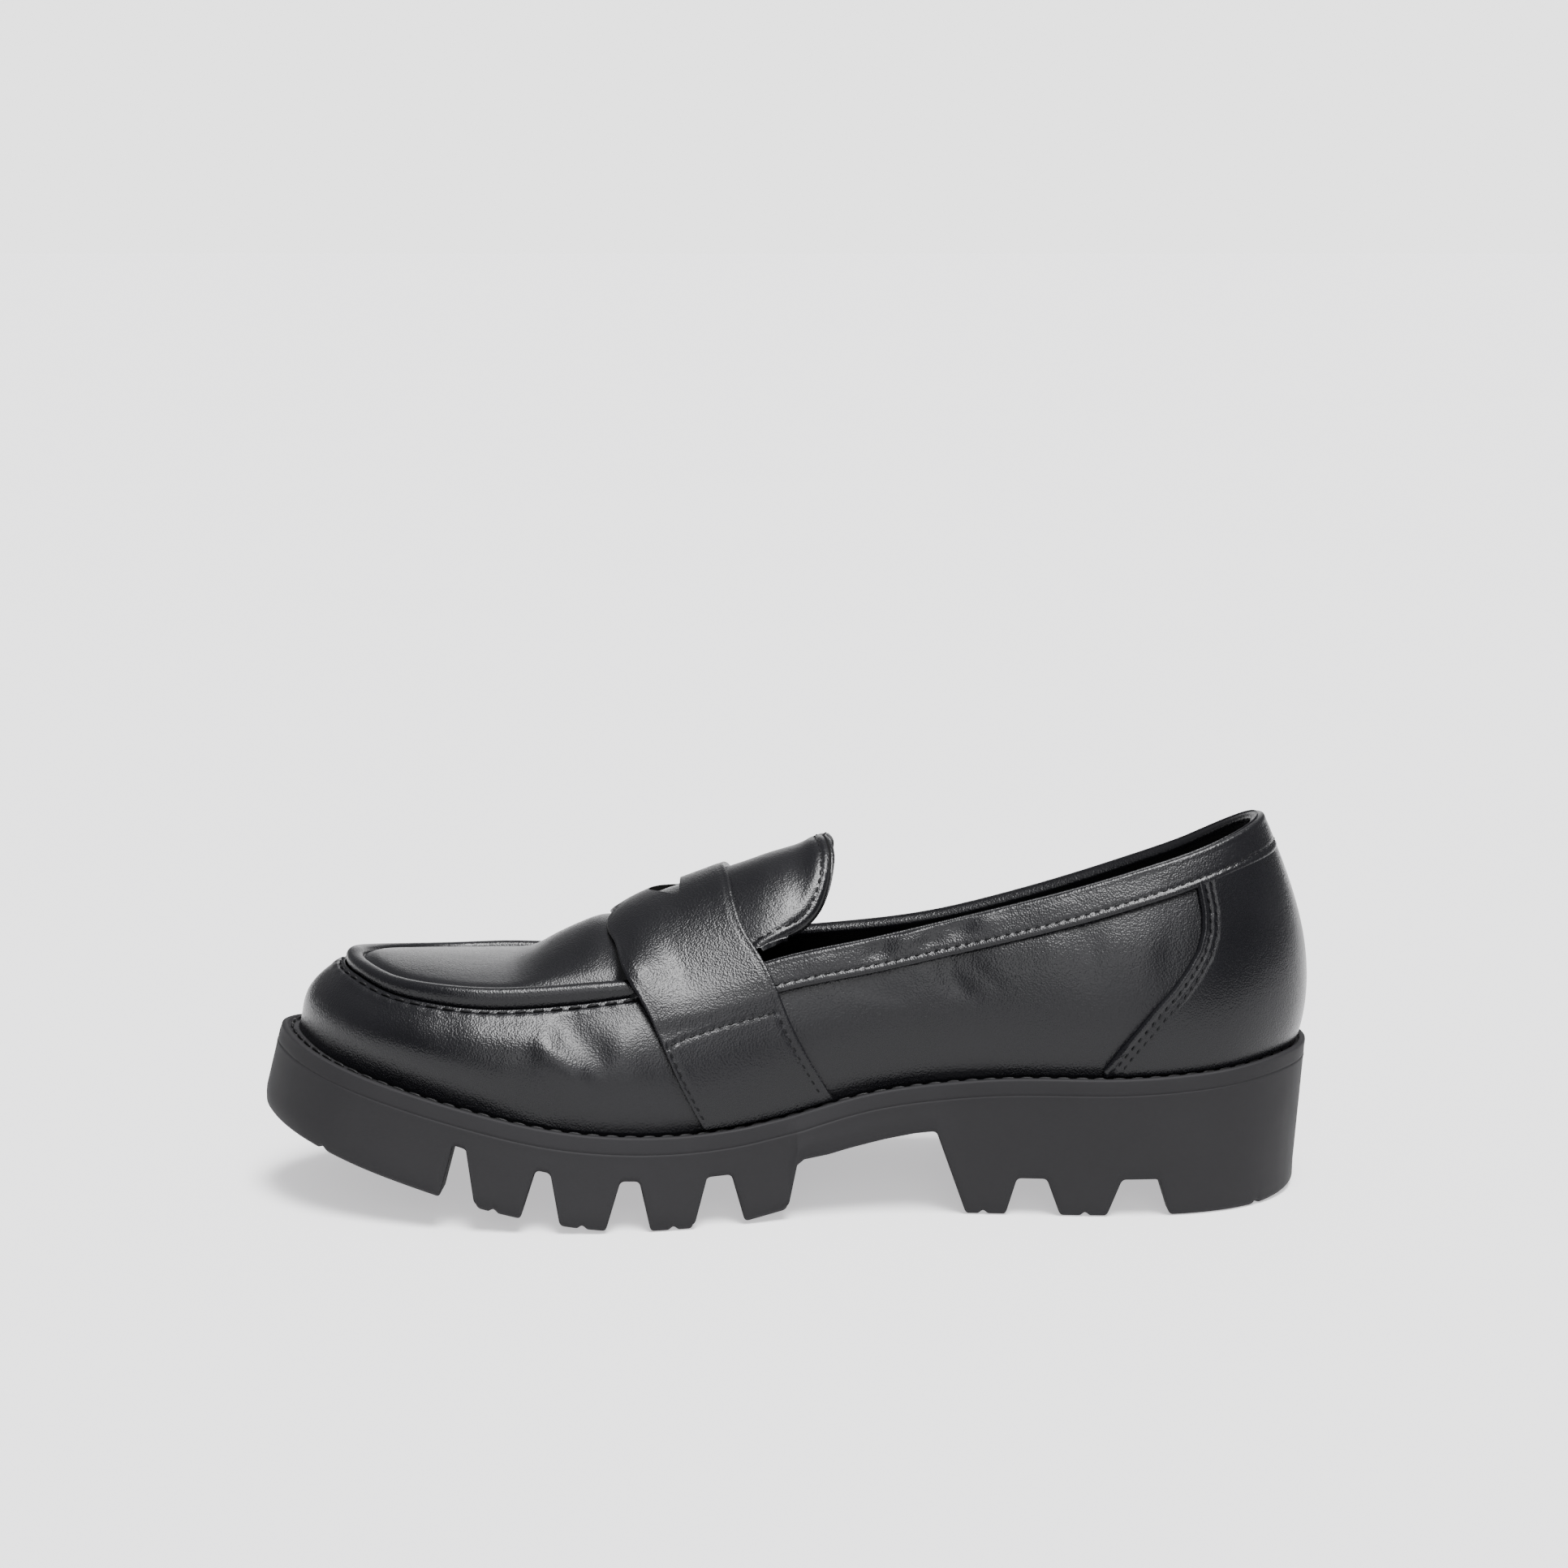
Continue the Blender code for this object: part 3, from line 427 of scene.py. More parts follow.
def piece(name, points, faces, materials, node=None, which=None, weld=2e-4, sharp=None):
    """One visible piece from points in millimetres: faces turned outwards, riding on the shoe."""
    mesh = bpy.data.meshes.new(name)
    mesh.from_pydata(((np.asarray(points, float).reshape(-1, 3) - CENTRE) * MM).tolist(), [], faces)
    if which is not None:
        mesh.polygons.foreach_set("material_index", np.asarray(which, np.int32))
    builder = bmesh.new()
    builder.from_mesh(mesh)
    if weld:
        bmesh.ops.remove_doubles(builder, verts=builder.verts[:], dist=weld * MM)
        bmesh.ops.dissolve_degenerate(builder, edges=builder.edges[:], dist=1e-9)
    bmesh.ops.recalc_face_normals(builder, faces=builder.faces[:])
    builder.to_mesh(mesh)
    builder.free()
    for made in materials:
        mesh.materials.append(made)
    mesh.polygons.foreach_set("use_smooth", np.ones(len(mesh.polygons), bool))
    if sharp:
        mesh.set_sharp_from_angle(angle=math.radians(sharp))
    item = bpy.data.objects.new(name, mesh)
    bpy.context.scene.collection.objects.link(item)
    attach(item, "root")
    if node:
        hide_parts(node)
    return item


def leaf(grid, normal, thickness):
    """Points and faces of a closed leaf: a grid, a second one under it, and the edges between them."""
    rows, columns = grid.shape[:2]
    low = grid - normal * thickness
    points = np.concatenate([grid.reshape(-1, 3), low.reshape(-1, 3)])
    size = rows * columns
    faces = quads(rows, columns) + quads(rows, columns, start=size)
    index = np.arange(size).reshape(rows, columns)
    loop = np.concatenate([index[0, :], index[1:, -1], index[-1, -2::-1], index[-2:0:-1, 0]])
    for a, b in zip(loop, np.roll(loop, -1)):
        faces.append([int(a), int(b), int(b) + size, int(a) + size])
    return points, faces


def swept(profiles, closed):
    """Points and faces of closed profiles (columns, points of one profile) joined one after the other."""
    columns, rows = profiles.shape[:2]
    points = profiles.reshape(-1, 3)
    faces = quads(columns, rows, wrap_rows=closed, wrap_columns=True)
    if not closed:
        faces.append(list(range(rows)))
        faces.append(list(range((columns - 1) * rows, columns * rows)))
    return points, faces


def stitches(path, normal, pitch, length, radius, lift, lean=0.0, closed=False, dip=1.0):
    """Points and faces of a row of stitches: short threads that rise out of one hole and dip into the next."""
    run = length_along(path)
    count = max(1, int(run[-1] / pitch))
    real = run[-1] / count if closed else pitch
    at = (np.arange(count) + 0.5) * real + (0.0 if closed else (run[-1] - count * pitch) / 2)
    middle = np.stack([np.interp(at, run, path[:, k]) for k in range(3)], -1)
    ahead = np.stack([np.interp(at + 0.3, run, path[:, k]) - np.interp(at - 0.3, run, path[:, k]) for k in range(3)], -1)
    up = np.stack([np.interp(at, run, normal[:, k]) for k in range(3)], -1)
    ahead /= np.linalg.norm(ahead, axis=-1, keepdims=True)
    up -= ahead * (up * ahead).sum(-1, keepdims=True)
    up /= np.linalg.norm(up, axis=-1, keepdims=True)
    beside = np.cross(up, ahead)
    turned = ahead * math.cos(lean) + beside * math.sin(lean)
    beside = np.cross(up, turned)
    along = np.array([-1.0, -0.9, -0.65, -0.25, 0.25, 0.65, 0.9, 1.0])
    swell = np.array([0.25, 0.7, 0.95, 1.0, 1.0, 0.95, 0.7, 0.25])
    turn = np.arange(8) * (2 * np.pi / 8)
    ring = np.stack([np.cos(turn), np.sin(turn)], -1)
    centre = (middle[:, None] + turned[:, None] * (along * length / 2)[None, :, None]
              + up[:, None] * (lift - (lift + radius * dip) * np.abs(along) ** 3)[None, :, None])
    points = (centre[:, :, None] + beside[:, None, None] * (ring[:, 0] * radius)[None, None, :, None] * swell[None, :, None, None]
              + up[:, None, None] * (ring[:, 1] * radius)[None, None, :, None] * swell[None, :, None, None])
    faces = []
    rings, sides = len(along), len(turn)
    body = quads(rings, sides, wrap_columns=True)
    for k in range(count):
        start = k * rings * sides
        faces += [[i + start for i in face] for face in body]
        faces.append([start + i for i in range(sides)])
        faces.append([start + (rings - 1) * sides + i for i in range(sides)])
    return points.reshape(-1, 3), faces


def joined(parts):
    points, faces, start = [], [], 0
    for p, f in parts:
        points.append(p)
        faces += [[i + start for i in face] for face in f]
        start += len(p)
    return np.concatenate(points), faces


# ---------------------------------------------------------------- materials
def blank(name):
    made = bpy.data.materials.new(name)
    made.use_nodes = True
    return made, made.node_tree.nodes, made.node_tree.links, made.node_tree.nodes["Principled BSDF"]


def mapped(nodes, links, source, low, high, to_low, to_high):
    node = nodes.new("ShaderNodeMapRange")
    for k, value in ((1, low), (2, high), (3, to_low), (4, to_high)):
        node.inputs[k].default_value = value
    links.new(source, node.inputs[0])
    return node.outputs[0]


def noise(nodes, links, place, scale, detail=2.0, rough=0.5, distortion=0.0):
    node = nodes.new("ShaderNodeTexNoise")
    node.inputs["Scale"].default_value = scale
    node.inputs["Detail"].default_value = detail
    node.inputs["Roughness"].default_value = rough
    node.inputs["Distortion"].default_value = distortion
    links.new(place, node.inputs["Vector"])
    return node.outputs["Fac"]


def cells(nodes, links, place, scale, soft=0.6):
    node = nodes.new("ShaderNodeTexVoronoi")
    node.feature = "SMOOTH_F1"
    node.inputs["Scale"].default_value = scale
    node.inputs["Smoothness"].default_value = soft
    links.new(place, node.inputs["Vector"])
    return node.outputs["Distance"]


def math_node(nodes, links, kind, a, b):
    node = nodes.new("ShaderNodeMath")
    node.operation = kind
    for k, value in enumerate((a, b)):
        if isinstance(value, (int, float)):
            node.inputs[k].default_value = value
        else:
            links.new(value, node.inputs[k])
    return node.outputs[0]


def bump(nodes, links, height, distance, strength, under=None):
    node = nodes.new("ShaderNodeBump")
    node.inputs["Distance"].default_value = distance
    node.inputs["Strength"].default_value = strength
    links.new(height, node.inputs["Height"])
    if under is not None:
        links.new(under, node.inputs["Normal"])
    return node.outputs["Normal"]


def tinted(nodes, links, source, dark, light):
    node = nodes.new("ShaderNodeValToRGB")
    node.color_ramp.elements[0].position, node.color_ramp.elements[1].position = 0.3, 0.7
    node.color_ramp.elements[0].color = (*dark, 1.0)
    node.color_ramp.elements[1].color = (*light, 1.0)
    links.new(source, node.inputs["Fac"])
    return node.outputs["Color"]


def leather(name, dark, light, rough, grain=1.0, coat=0.05, seed=0.0):
    """Satin leather: fine pebbles, softer creasing under them, slow changes of gloss and tone."""
    made, nodes, links, shader = blank(name)
    place = nodes.new("ShaderNodeTexCoord").outputs["Object"]
    shift = nodes.new("ShaderNodeMapping")
    shift.inputs["Location"].default_value = (seed, seed * 0.7, -seed)
    links.new(place, shift.inputs["Vector"])
    place = shift.outputs["Vector"]
    pebble = cells(nodes, links, place, 2100.0)
    fine = noise(nodes, links, place, 2600.0, 2.0)
    soft = noise(nodes, links, place, 620.0, 3.0, 0.55, 0.6)
    slow = noise(nodes, links, place, 38.0, 2.0)
    links.new(tinted(nodes, links, slow, dark, light), shader.inputs["Base Color"])
    gloss = math_node(nodes, links, "ADD", mapped(nodes, links, slow, 0.3, 0.7, rough - 0.04, rough + 0.05),
                      mapped(nodes, links, pebble, 0.0, 0.9, -0.03, 0.08))
    links.new(gloss, shader.inputs["Roughness"])
    wide = noise(nodes, links, place, 130.0, 2.0, 0.5, 0.4)
    low = bump(nodes, links, soft, 0.00016, 0.30 * grain, bump(nodes, links, wide, 0.00060, 0.16))
    mid = bump(nodes, links, pebble, 0.00015, 0.55 * grain, low)
    links.new(bump(nodes, links, fine, 0.00005, 0.5 * grain, mid), shader.inputs["Normal"])
    shader.inputs["Specular IOR Level"].default_value = 0.22
    shader.inputs["Coat Weight"].default_value = coat
    shader.inputs["Coat Roughness"].default_value = 0.30
    return made


def rubber(name, dark, light, rough):
    """Moulded rubber: matt, very fine texture, slight clouding."""
    made, nodes, links, shader = blank(name)
    place = nodes.new("ShaderNodeTexCoord").outputs["Object"]
    slow = noise(nodes, links, place, 45.0, 3.0)
    fine = noise(nodes, links, place, 1900.0, 2.0)
    links.new(tinted(nodes, links, slow, dark, light), shader.inputs["Base Color"])
    links.new(mapped(nodes, links, slow, 0.3, 0.7, rough - 0.05, rough + 0.06), shader.inputs["Roughness"])
    links.new(bump(nodes, links, fine, 0.00004, 0.35), shader.inputs["Normal"])
    shader.inputs["Specular IOR Level"].default_value = 0.13
    return made


def lining(name, dark, light, rough):
    """Dull lining leather with fine pores."""
    made, nodes, links, shader = blank(name)
    place = nodes.new("ShaderNodeTexCoord").outputs["Object"]
    slow = noise(nodes, links, place, 60.0, 3.0)
    pores = cells(nodes, links, place, 1100.0, 0.3)
    links.new(tinted(nodes, links, slow, dark, light), shader.inputs["Base Color"])
    links.new(mapped(nodes, links, slow, 0.3, 0.7, rough - 0.06, rough + 0.06), shader.inputs["Roughness"])
    links.new(bump(nodes, links, pores, 0.00012, 0.4), shader.inputs["Normal"])
    shader.inputs["Specular IOR Level"].default_value = 0.12
    return made


def thread(name, dark, light):
    """Bonded thread: a fine twist."""
    made, nodes, links, shader = blank(name)
    place = nodes.new("ShaderNodeTexCoord").outputs["Object"]
    twist = noise(nodes, links, place, 5200.0, 1.0)
    slow = noise(nodes, links, place, 300.0, 1.0)
    links.new(tinted(nodes, links, slow, dark, light), shader.inputs["Base Color"])
    links.new(mapped(nodes, links, slow, 0.3, 0.7, 0.42, 0.55), shader.inputs["Roughness"])
    links.new(bump(nodes, links, twist, 0.00005, 0.5), shader.inputs["Normal"])
    shader.inputs["Specular IOR Level"].default_value = 0.12
    return made


LEATHER = leather("vamp_leather", (0.0026, 0.0026, 0.0034), (0.0038, 0.0038, 0.0048), 0.27)
SMOOTH = leather("apron_leather", (0.0026, 0.0026, 0.0034), (0.0038, 0.0038, 0.0048), 0.25, 0.8, 0.04, 0.31)
OVERLAY = leather("overlay_leather", (0.0027, 0.0027, 0.0035), (0.0040, 0.0040, 0.0050), 0.27, 1.0, 0.03, 0.17)
HEEL = leather("counter_leather", (0.0025, 0.0025, 0.0033), (0.0037, 0.0037, 0.0047), 0.25, 0.7, 0.04, 0.53)
RUBBER = rubber("sole_rubber", (0.0114, 0.0111, 0.0120), (0.0134, 0.0131, 0.0141), 0.64)
LINING = lining("lining", (0.0030, 0.0030, 0.0032), (0.0052, 0.0052, 0.0055), 0.66)
THREAD = thread("thread", (0.0030, 0.0030, 0.0034), (0.0060, 0.0060, 0.0068))
WELT = thread("welt_thread", (0.0070, 0.0069, 0.0074), (0.0100, 0.0098, 0.0105))
EDGE = lining("cut_edge", (0.0040, 0.0038, 0.0036), (0.0080, 0.0076, 0.0072), 0.8)


# ---------------------------------------------------------------- outsole
def tread_base(x):
    front = TOE_SPRING * np.maximum(0.0, TREAD_FRONT - x) ** TOE_POWER
    rear = SHANK_SPRING * np.maximum(0.0, x - TREAD_REAR) ** SHANK_POWER
    ground = np.where(x < WAIST[0][0], front + rear, 0.0)
    waist = np.interp(x, [row[0] for row in WAIST], [row[1] for row in WAIST])
    ease, start = HEEL_BACK_EASE
    heel = ease * np.maximum(0.0, x - start) ** 2
    return np.where(x < WAIST[0][0], ground, np.where(x < WAIST[-1][0], waist, heel))


def tread_field(x):
    deep = np.interp(x, [row[0] for row in TREAD_DEEP], [row[1] for row in TREAD_DEEP])
    waist = (x >= WAIST[0][0]) & (x < 47.1)
    return np.where(waist, np.maximum(tread_base(x), np.where(x < 4.8, 15.5, 0.0)), tread_base(x) + deep)


def notch(x):
    return sum(NOTCH_DEEP * np.cos(np.clip((x - at) / NOTCH_WIDE, -0.5, 0.5) * np.pi) ** 2 for at in NOTCHES)


def side_outline(front, rear):
    """The tread's lower edge in side view from the rear to the front, with rounded corners."""
    keys = [(x, float(tread_field(x) if top else tread_base(x)), CORNER)
            for gap in LUG_GAPS for x, top in zip(gap, (False, True, True, False))]
    keys += [(x, z, {0.2: CORNER, 2.6: 1.0, 39.3: 1.3, 47.1: CORNER}.get(x, 0.0)) for x, z in WAIST]
    keys += [(rear, float(tread_base(rear)), 0.0), (front, float(tread_base(front)), 0.0)]
    keys.sort(key=lambda key: -key[0])
    points = []
    for (x, z, r), (nx, nz, nr) in zip(keys, keys[1:]):
        points.append((x, z, r))
        on_lug = abs(z - tread_base(x)) < 0.05 and abs(nz - tread_base(nx)) < 0.05
        if on_lug and not WAIST[0][0] <= x <= WAIST[-1][0] - 0.05 or x == rear:
            spots = list(np.arange(x - 1.8, nx + 1.5, -1.7))
            for at in NOTCHES:
                if nx < at < x:
                    spots = [s for s in spots if abs(s - at) > NOTCH_WIDE * 0.62]
                    spots += list(at + NOTCH_WIDE * np.linspace(-0.55, 0.55, 9))
            points += [(s, float(tread_base(s) + notch(s)), 0.0) for s in sorted(spots, reverse=True)]
        elif x - nx > 3.0 and WAIST[0][0] <= nx:
            steps = max(2, int((x - nx) / 2.0))
            points += [(x + (nx - x) * k / steps, z + (nz - z) * k / steps, 0.0) for k in range(1, steps)]
    points.append(keys[-1])
    made = []
    for k, (x, z, r) in enumerate(points):
        if r and 0 < k < len(points) - 1:
            here = np.array([x, z])
            before, after = np.array(points[k - 1][:2]) - here, np.array(points[k + 1][:2]) - here
            a = before / np.linalg.norm(before) * min(r, 0.45 * np.linalg.norm(before))
            b = after / np.linalg.norm(after) * min(r, 0.45 * np.linalg.norm(after))
            for t in np.linspace(0, 1, 6):
                made.append(tuple(here + a * (1 - t) ** 2 + b * t ** 2))
        else:
            made.append((x, z))
    return made


def tread_inset(section, inset, x_name):
    first, last, soft = STRAIGHT_ACROSS
    across = smooth_step(first - soft, first, x_name) * (1 - smooth_step(last, last + soft, x_name))
    toe, ball, heel, back, most = GAPS_ACROSS
    across = max(across, most * smooth_step(toe, ball, x_name) * (1 - smooth_step(heel, back, x_name)))
    nx, ny = outward(section)
    nx, ny = nx * (1 - across), ny * (1 - across) + np.sign(ny) * across
    size = np.hypot(nx, ny)
    return rim_x_at(section) - nx / size * inset, rim_y_at(section) - ny / size * inset


def sole_column(section, x_name, edge):
    z_rim = float(rim_height(rim_x_at(section)))
    flare = float(flare_at(section))
    base, field = float(tread_base(x_name)), float(tread_field(x_name))
    full = z_rim - base - 4.0
    ledge = float(ledge_at(section))

    def out(z):
        return flare * min(max((z_rim - z) / full, 0.0), 1.0)

    points = []
    for inset, drop in ((ledge - 0.8, 1.0), (2.75, 1.0), (2.2, 0.95), (1.9, 0.7), (1.7, 0.3), (1.45, 0.06), (1.0, 0.0),
                        (0.5, 0.05), (0.2, 0.2), (0.05, 0.45), (0.0, 0.8)):
        x, y = rim_inset(section, inset)
        points.append((x, y, z_rim - drop))
    for drop, groove in ((2.2, 0.0), (3.5, 0.0), (4.05, 0.0), (4.2, 0.11), (4.35, 0.11), (4.5, -0.06), (4.8, -0.08), (5.4, -0.03)):
        x, y = rim_inset(section, groove - out(z_rim - drop))
        points.append((x, y, z_rim - drop))
    top, foot = z_rim - 6.2, edge + EDGE_ROUND
    for share in np.linspace(0.0, 1.0, 9):
        z = top + (foot - top) * share
        x, y = rim_inset(section, -out(z))
        points.append((x, y, z))
    for turn in (22.5, 45.0, 67.5, 90.0):
        turn = math.radians(turn)
        z = edge + EDGE_ROUND * (1 - math.sin(turn))
        x, y = tread_inset(section, EDGE_ROUND * (1 - math.cos(turn)) - out(z), x_name)
        points.append((x, y, z))
    for inset in (3.2, 5.2, LUG_FOOT - 0.6):
        x, y = tread_inset(section, inset, x_name)
        points.append((x, y, edge))
    for share in (0.12, 0.3, 0.5, 0.7, 0.88, 1.0):
        x, y = tread_inset(section, LUG_FOOT + (LUG_DEPTH - LUG_FOOT) * share, x_name)
        points.append((x, y, edge + (field - edge) * float(smooth_step(0, 1, share))))
    return points


def make_outsole():
    outline = side_outline(-128.0, 135.0)
    back = even(lambda s: np.stack([rim_x_at(s), rim_y_at(s)], -1), 0.0, section_at(rim_x_at, 135.0), 1.1)[:-1]
    tip = even(lambda s: np.stack([rim_x_at(s), rim_y_at(s)], -1), section_at(rim_x_at, -128.0), float(LAST), 1.1)[1:]
    inner = [(s, float(rim_x_at(s)), None) for s in back]
    inner += [(section_at(rim_x_at, x), x, z) for x, z in outline]
    inner += [(s, float(rim_x_at(s)), None) for s in tip]
    outer = [(other_side(s) if z is None else other_side(section_at(rim_x_at, x, True)), x, z) for s, x, z in inner]
    ring = inner + outer[-2:0:-1]
    columns = [sole_column(s, x, float(tread_base(x)) if z is None else z) for s, x, z in ring]
    grid = np.array(columns)
    count, rows = grid.shape[:2]
    points = grid.reshape(-1, 3)
    faces = quads(count, rows, wrap_rows=True)
    # the ledge's middle and the recessed middle of the tread
    half = count // 2
    for row, across, ribs in ((0, 2, 0.0), (rows - 1, 16, 0.7)):
        index = np.zeros((half + 1, across + 1), int)
        more = []
        for k in range(half + 1):
            a, b = k * rows + row, ((-k) % count) * rows + row
            index[k, 0], index[k, -1] = a, b
            for c in range(1, across):
                share = c / across
                p = points[a] * (1 - share) + points[b] * share
                x = p[0]
                rib = smooth_step(0.30, 0.42, abs((x / 7.0) % 1.0 - 0.5))
                p = p + np.array([0, 0, ribs * rib * smooth_step(0.0, 0.2, min(share, 1 - share))])
                index[k, c] = len(points) + len(more)
                more.append(p)
        points = np.concatenate([points, np.array(more)])
        for k in range(half):
            for c in range(across):
                corners = [int(index[k, c]), int(index[k, c + 1]), int(index[k + 1, c + 1]), int(index[k + 1, c])]
                corners = list(dict.fromkeys(corners))
                if len(corners) > 2:
                    faces.append(corners)
    return piece("sole", points, faces, [RUBBER], "outsole", sharp=60)


# ---------------------------------------------------------------- upper
def make_wall():
    sections = even(lambda s: wall(s, 0.55), 0.0, float(COUNT), 0.95)[:-1]
    speed = np.linalg.norm(wall(sections, 1.0) - wall(sections, 0.985), axis=-1) / 0.015
    near = np.array([0.0, 0.3, 0.6, 0.9, 1.2, 1.45, 1.7, 1.95, 2.3, 2.8, 3.5, 4.4, 5.4, 6.5])
    shares = [1 - d / speed for d in near]
    last = shares[-1]
    shares += [last * (1 - t) for t in np.linspace(0, 1, 36)[1:]]
    v = np.array(shares)
    s = np.broadcast_to(sections, v.shape)
    grid = wall(s, v)
    normal = wall_normal(s, v)
    seam = wall(sections, np.ones_like(sections))
    run = length_along(np.concatenate([seam, seam[:1]]))[:-1]
    front = 1 - smooth_step(-40.0, -34.0, top_x_at(sections))
    d = (1 - v) * speed
    sunk = SEAM_DEEP * (1 - smooth_step(1.35, 2.0, d))
    pull = 0.20 * np.cos(np.pi * run / MOC_PITCH) ** 2 * np.exp(-((d - 2.2) / 0.9) ** 2)
    roll = 0.25 * np.exp(-((d - 2.9) / 1.1) ** 2)
    forms = soft_forms(grid, WALL_FORMS) * smooth_step(0.0, 0.12, v)
    grid = grid + normal * (front * (roll - sunk - pull) + forms)[..., None]
    foot = grid[-1].copy()
    foot[:, 2] -= FOOT_LIP + 0.34
    inside_v = np.array([0.0, 0.12, 0.26, 0.4, 0.54, 0.68, 0.8, 0.9, 0.97])
    si = np.broadcast_to(sections, (len(inside_v), len(sections)))
    vi = np.broadcast_to(inside_v[:, None], si.shape)
    inside = wall(si, vi) - wall_normal(si, vi) * WALL
    low = inside[0].copy()
    low[:, 2] -= FOOT_LIP + 0.34
    rings = np.concatenate([grid, foot[None], low[None], inside])
    profiles = np.swapaxes(rings, 0, 1)
    points, faces = swept(profiles, True)
    rows = profiles.shape[1]
    inner_from = len(grid) + 1
    which = [1 if inner_from <= k % rows < rows - 1 else 0 for k in range(len(faces))]
    piece("vamp_and_quarters", points, faces, [LEATHER, LINING], "upper", which)


def bead_height(section):
    """Top of the bead over the seam line, and how much of it is left under the strap."""
    left = 1 - smooth_step(BEAD_TAPER[0], BEAD_TAPER[1], top_x_at(section))
    return rise_at(section) + BEAD_OVER, left


def make_bead():
    start = section_at(top_x_at, -31.5)
    end = other_side(section_at(top_x_at, -31.5, True))
    sections = even(lambda s: wall(s, 1.0), start, end, 0.8)
    top, left = bead_height(sections)
    tall = (top + 1.7) / 2
    middle = top - tall
    turn = np.linspace(0, 2 * np.pi, 25)[:-1]
    c, s = np.cos(turn), np.sin(turn)
    round_c, round_s = np.sign(c) * np.abs(c) ** 0.85, np.sign(s) * np.abs(s) ** 0.85
    nx, ny = outward(sections)
    across = 3.05 + 2.3 * round_c[None, :] * (0.55 + 0.45 * left)[:, None]
    height = middle[:, None] + tall[:, None] * round_s[None, :]
    height = height * left[:, None] - 1.4 * (1 - left)[:, None]
    x = top_x_at(sections)[:, None] - nx[:, None] * across
    y = top_y_at(sections)[:, None] - ny[:, None] * across
    z = top_z_at(sections)[:, None] + height
    points, faces = swept(np.stack([x, y, z], -1), False)
    piece("moc_bead", points, faces, [SMOOTH], "upper")


APRON_PUFF = [(-90.0, 0.0), (-76.0, 0.0), (-71.6, 0.2), (-67.2, 1.15), (-64.0, 1.9), (-60.7, 2.45), (-55.5, 2.85),
              (-51.5, 2.6), (-49.0, 1.9), (-47.0, 0.9), (-45.4, 0.15), (-43.5, 0.0), (-20.0, 0.0)]


def make_apron():
    start = section_at(top_x_at, THROAT_X + 1.0)
    lines = even(apron_edge, start, float(LAST), 0.9)
    shares = np.sin(np.linspace(-1, 1, 71) * np.pi / 2 * 0.92) / math.sin(np.pi / 2 * 0.92)
    grid = apron(lines[:, None], shares[None, :])
    edge_sections = even(apron_edge, start, float(COUNT) - start, 0.5)
    off, _ = distance_to(grid, apron_edge(edge_sections))
    strength = bead_strength(lines)[:, None]
    grid[..., 2] -= strength * 1.15 * np.exp(-(off / 2.4) ** 2)
    grid[..., 2] += np.clip(smooth_table(APRON_PUFF, grid[..., 0]), 0, None) * (1 - shares[None, :] ** 2)
    nx, ny = outward(lines)
    ox, oy = outward(other_side(lines))
    rise = rise_at(lines)
    sides = []
    for across, drop in ((4.7, 1.9), (3.6, 2.6)):
        inner = np.stack([top_x_at(lines) - nx * across * strength[:, 0], top_y_at(lines) - ny * across * strength[:, 0],
                          top_z_at(lines) + (rise - drop) * strength[:, 0] - 0.4], -1)
        far = other_side(lines)
        outer = np.stack([top_x_at(far) - ox * across * strength[:, 0], top_y_at(far) - oy * across * strength[:, 0],
                          top_z_at(far) + (rise_at(far) - drop) * strength[:, 0] - 0.4], -1)
        sides.append((inner, outer))
    grid = np.concatenate([sides[1][0][:, None], sides[0][0][:, None], grid, sides[0][1][:, None], sides[1][1][:, None]], 1)
    down = np.zeros_like(grid)
    down[..., 2] = 1.0
    points, faces = leaf(grid, down, 1.3)
    piece("apron", points, faces, [SMOOTH, LINING], "upper")


_behind = np.linspace(-45.0, -8.0, 40)
_at = np.array([section_at(top_x_at, x) for x in _behind])
_sides_x = np.concatenate([_behind, [r[0] for r in TONGUE_SIDES]])
_sides = [np.concatenate([values, [r[k] for r in TONGUE_SIDES]]) for k, values in (
    (1, top_y_at(_at)), (2, top_z_at(_at)), (3, top_y_at(other_side(_at))), (4, top_z_at(other_side(_at))))]


def instep(x, y):
    inner_y, inner_z, outer_y, outer_z = (np.interp(x, _sides_x, values) for values in _sides)
    share = (y - inner_y) / (outer_y - inner_y)
    crown = smooth_table(CREST, x) - (inner_z + outer_z) / 2
    return inner_z + (outer_z - inner_z) * share + crown * (1 - (2 * share - 1) ** 2)


def tongue(side, b):
    side, b = np.broadcast_arrays(np.asarray(side, float), np.asarray(b, float))
    section = section_at(top_x_at, THROAT_X + 0.35)
    inner, outer = top_y_at(section) + 0.7, top_y_at(other_side(section)) - 0.7
    front_y = np.where(side < 0, -side * inner, side * outer)
    share = np.abs(side)
    edge_x = smooth_table([(r[0], r[1]) for r in TONGUE_EDGE], share)
    edge_y = smooth_table([(r[0], r[2]) for r in TONGUE_EDGE], share) * np.sign(side)
    x = (THROAT_X + 0.35) * (1 - b) + edge_x * b
    y = front_y * (1 - b) + edge_y * b
    return np.stack([x, y, instep(x, y)], -1)


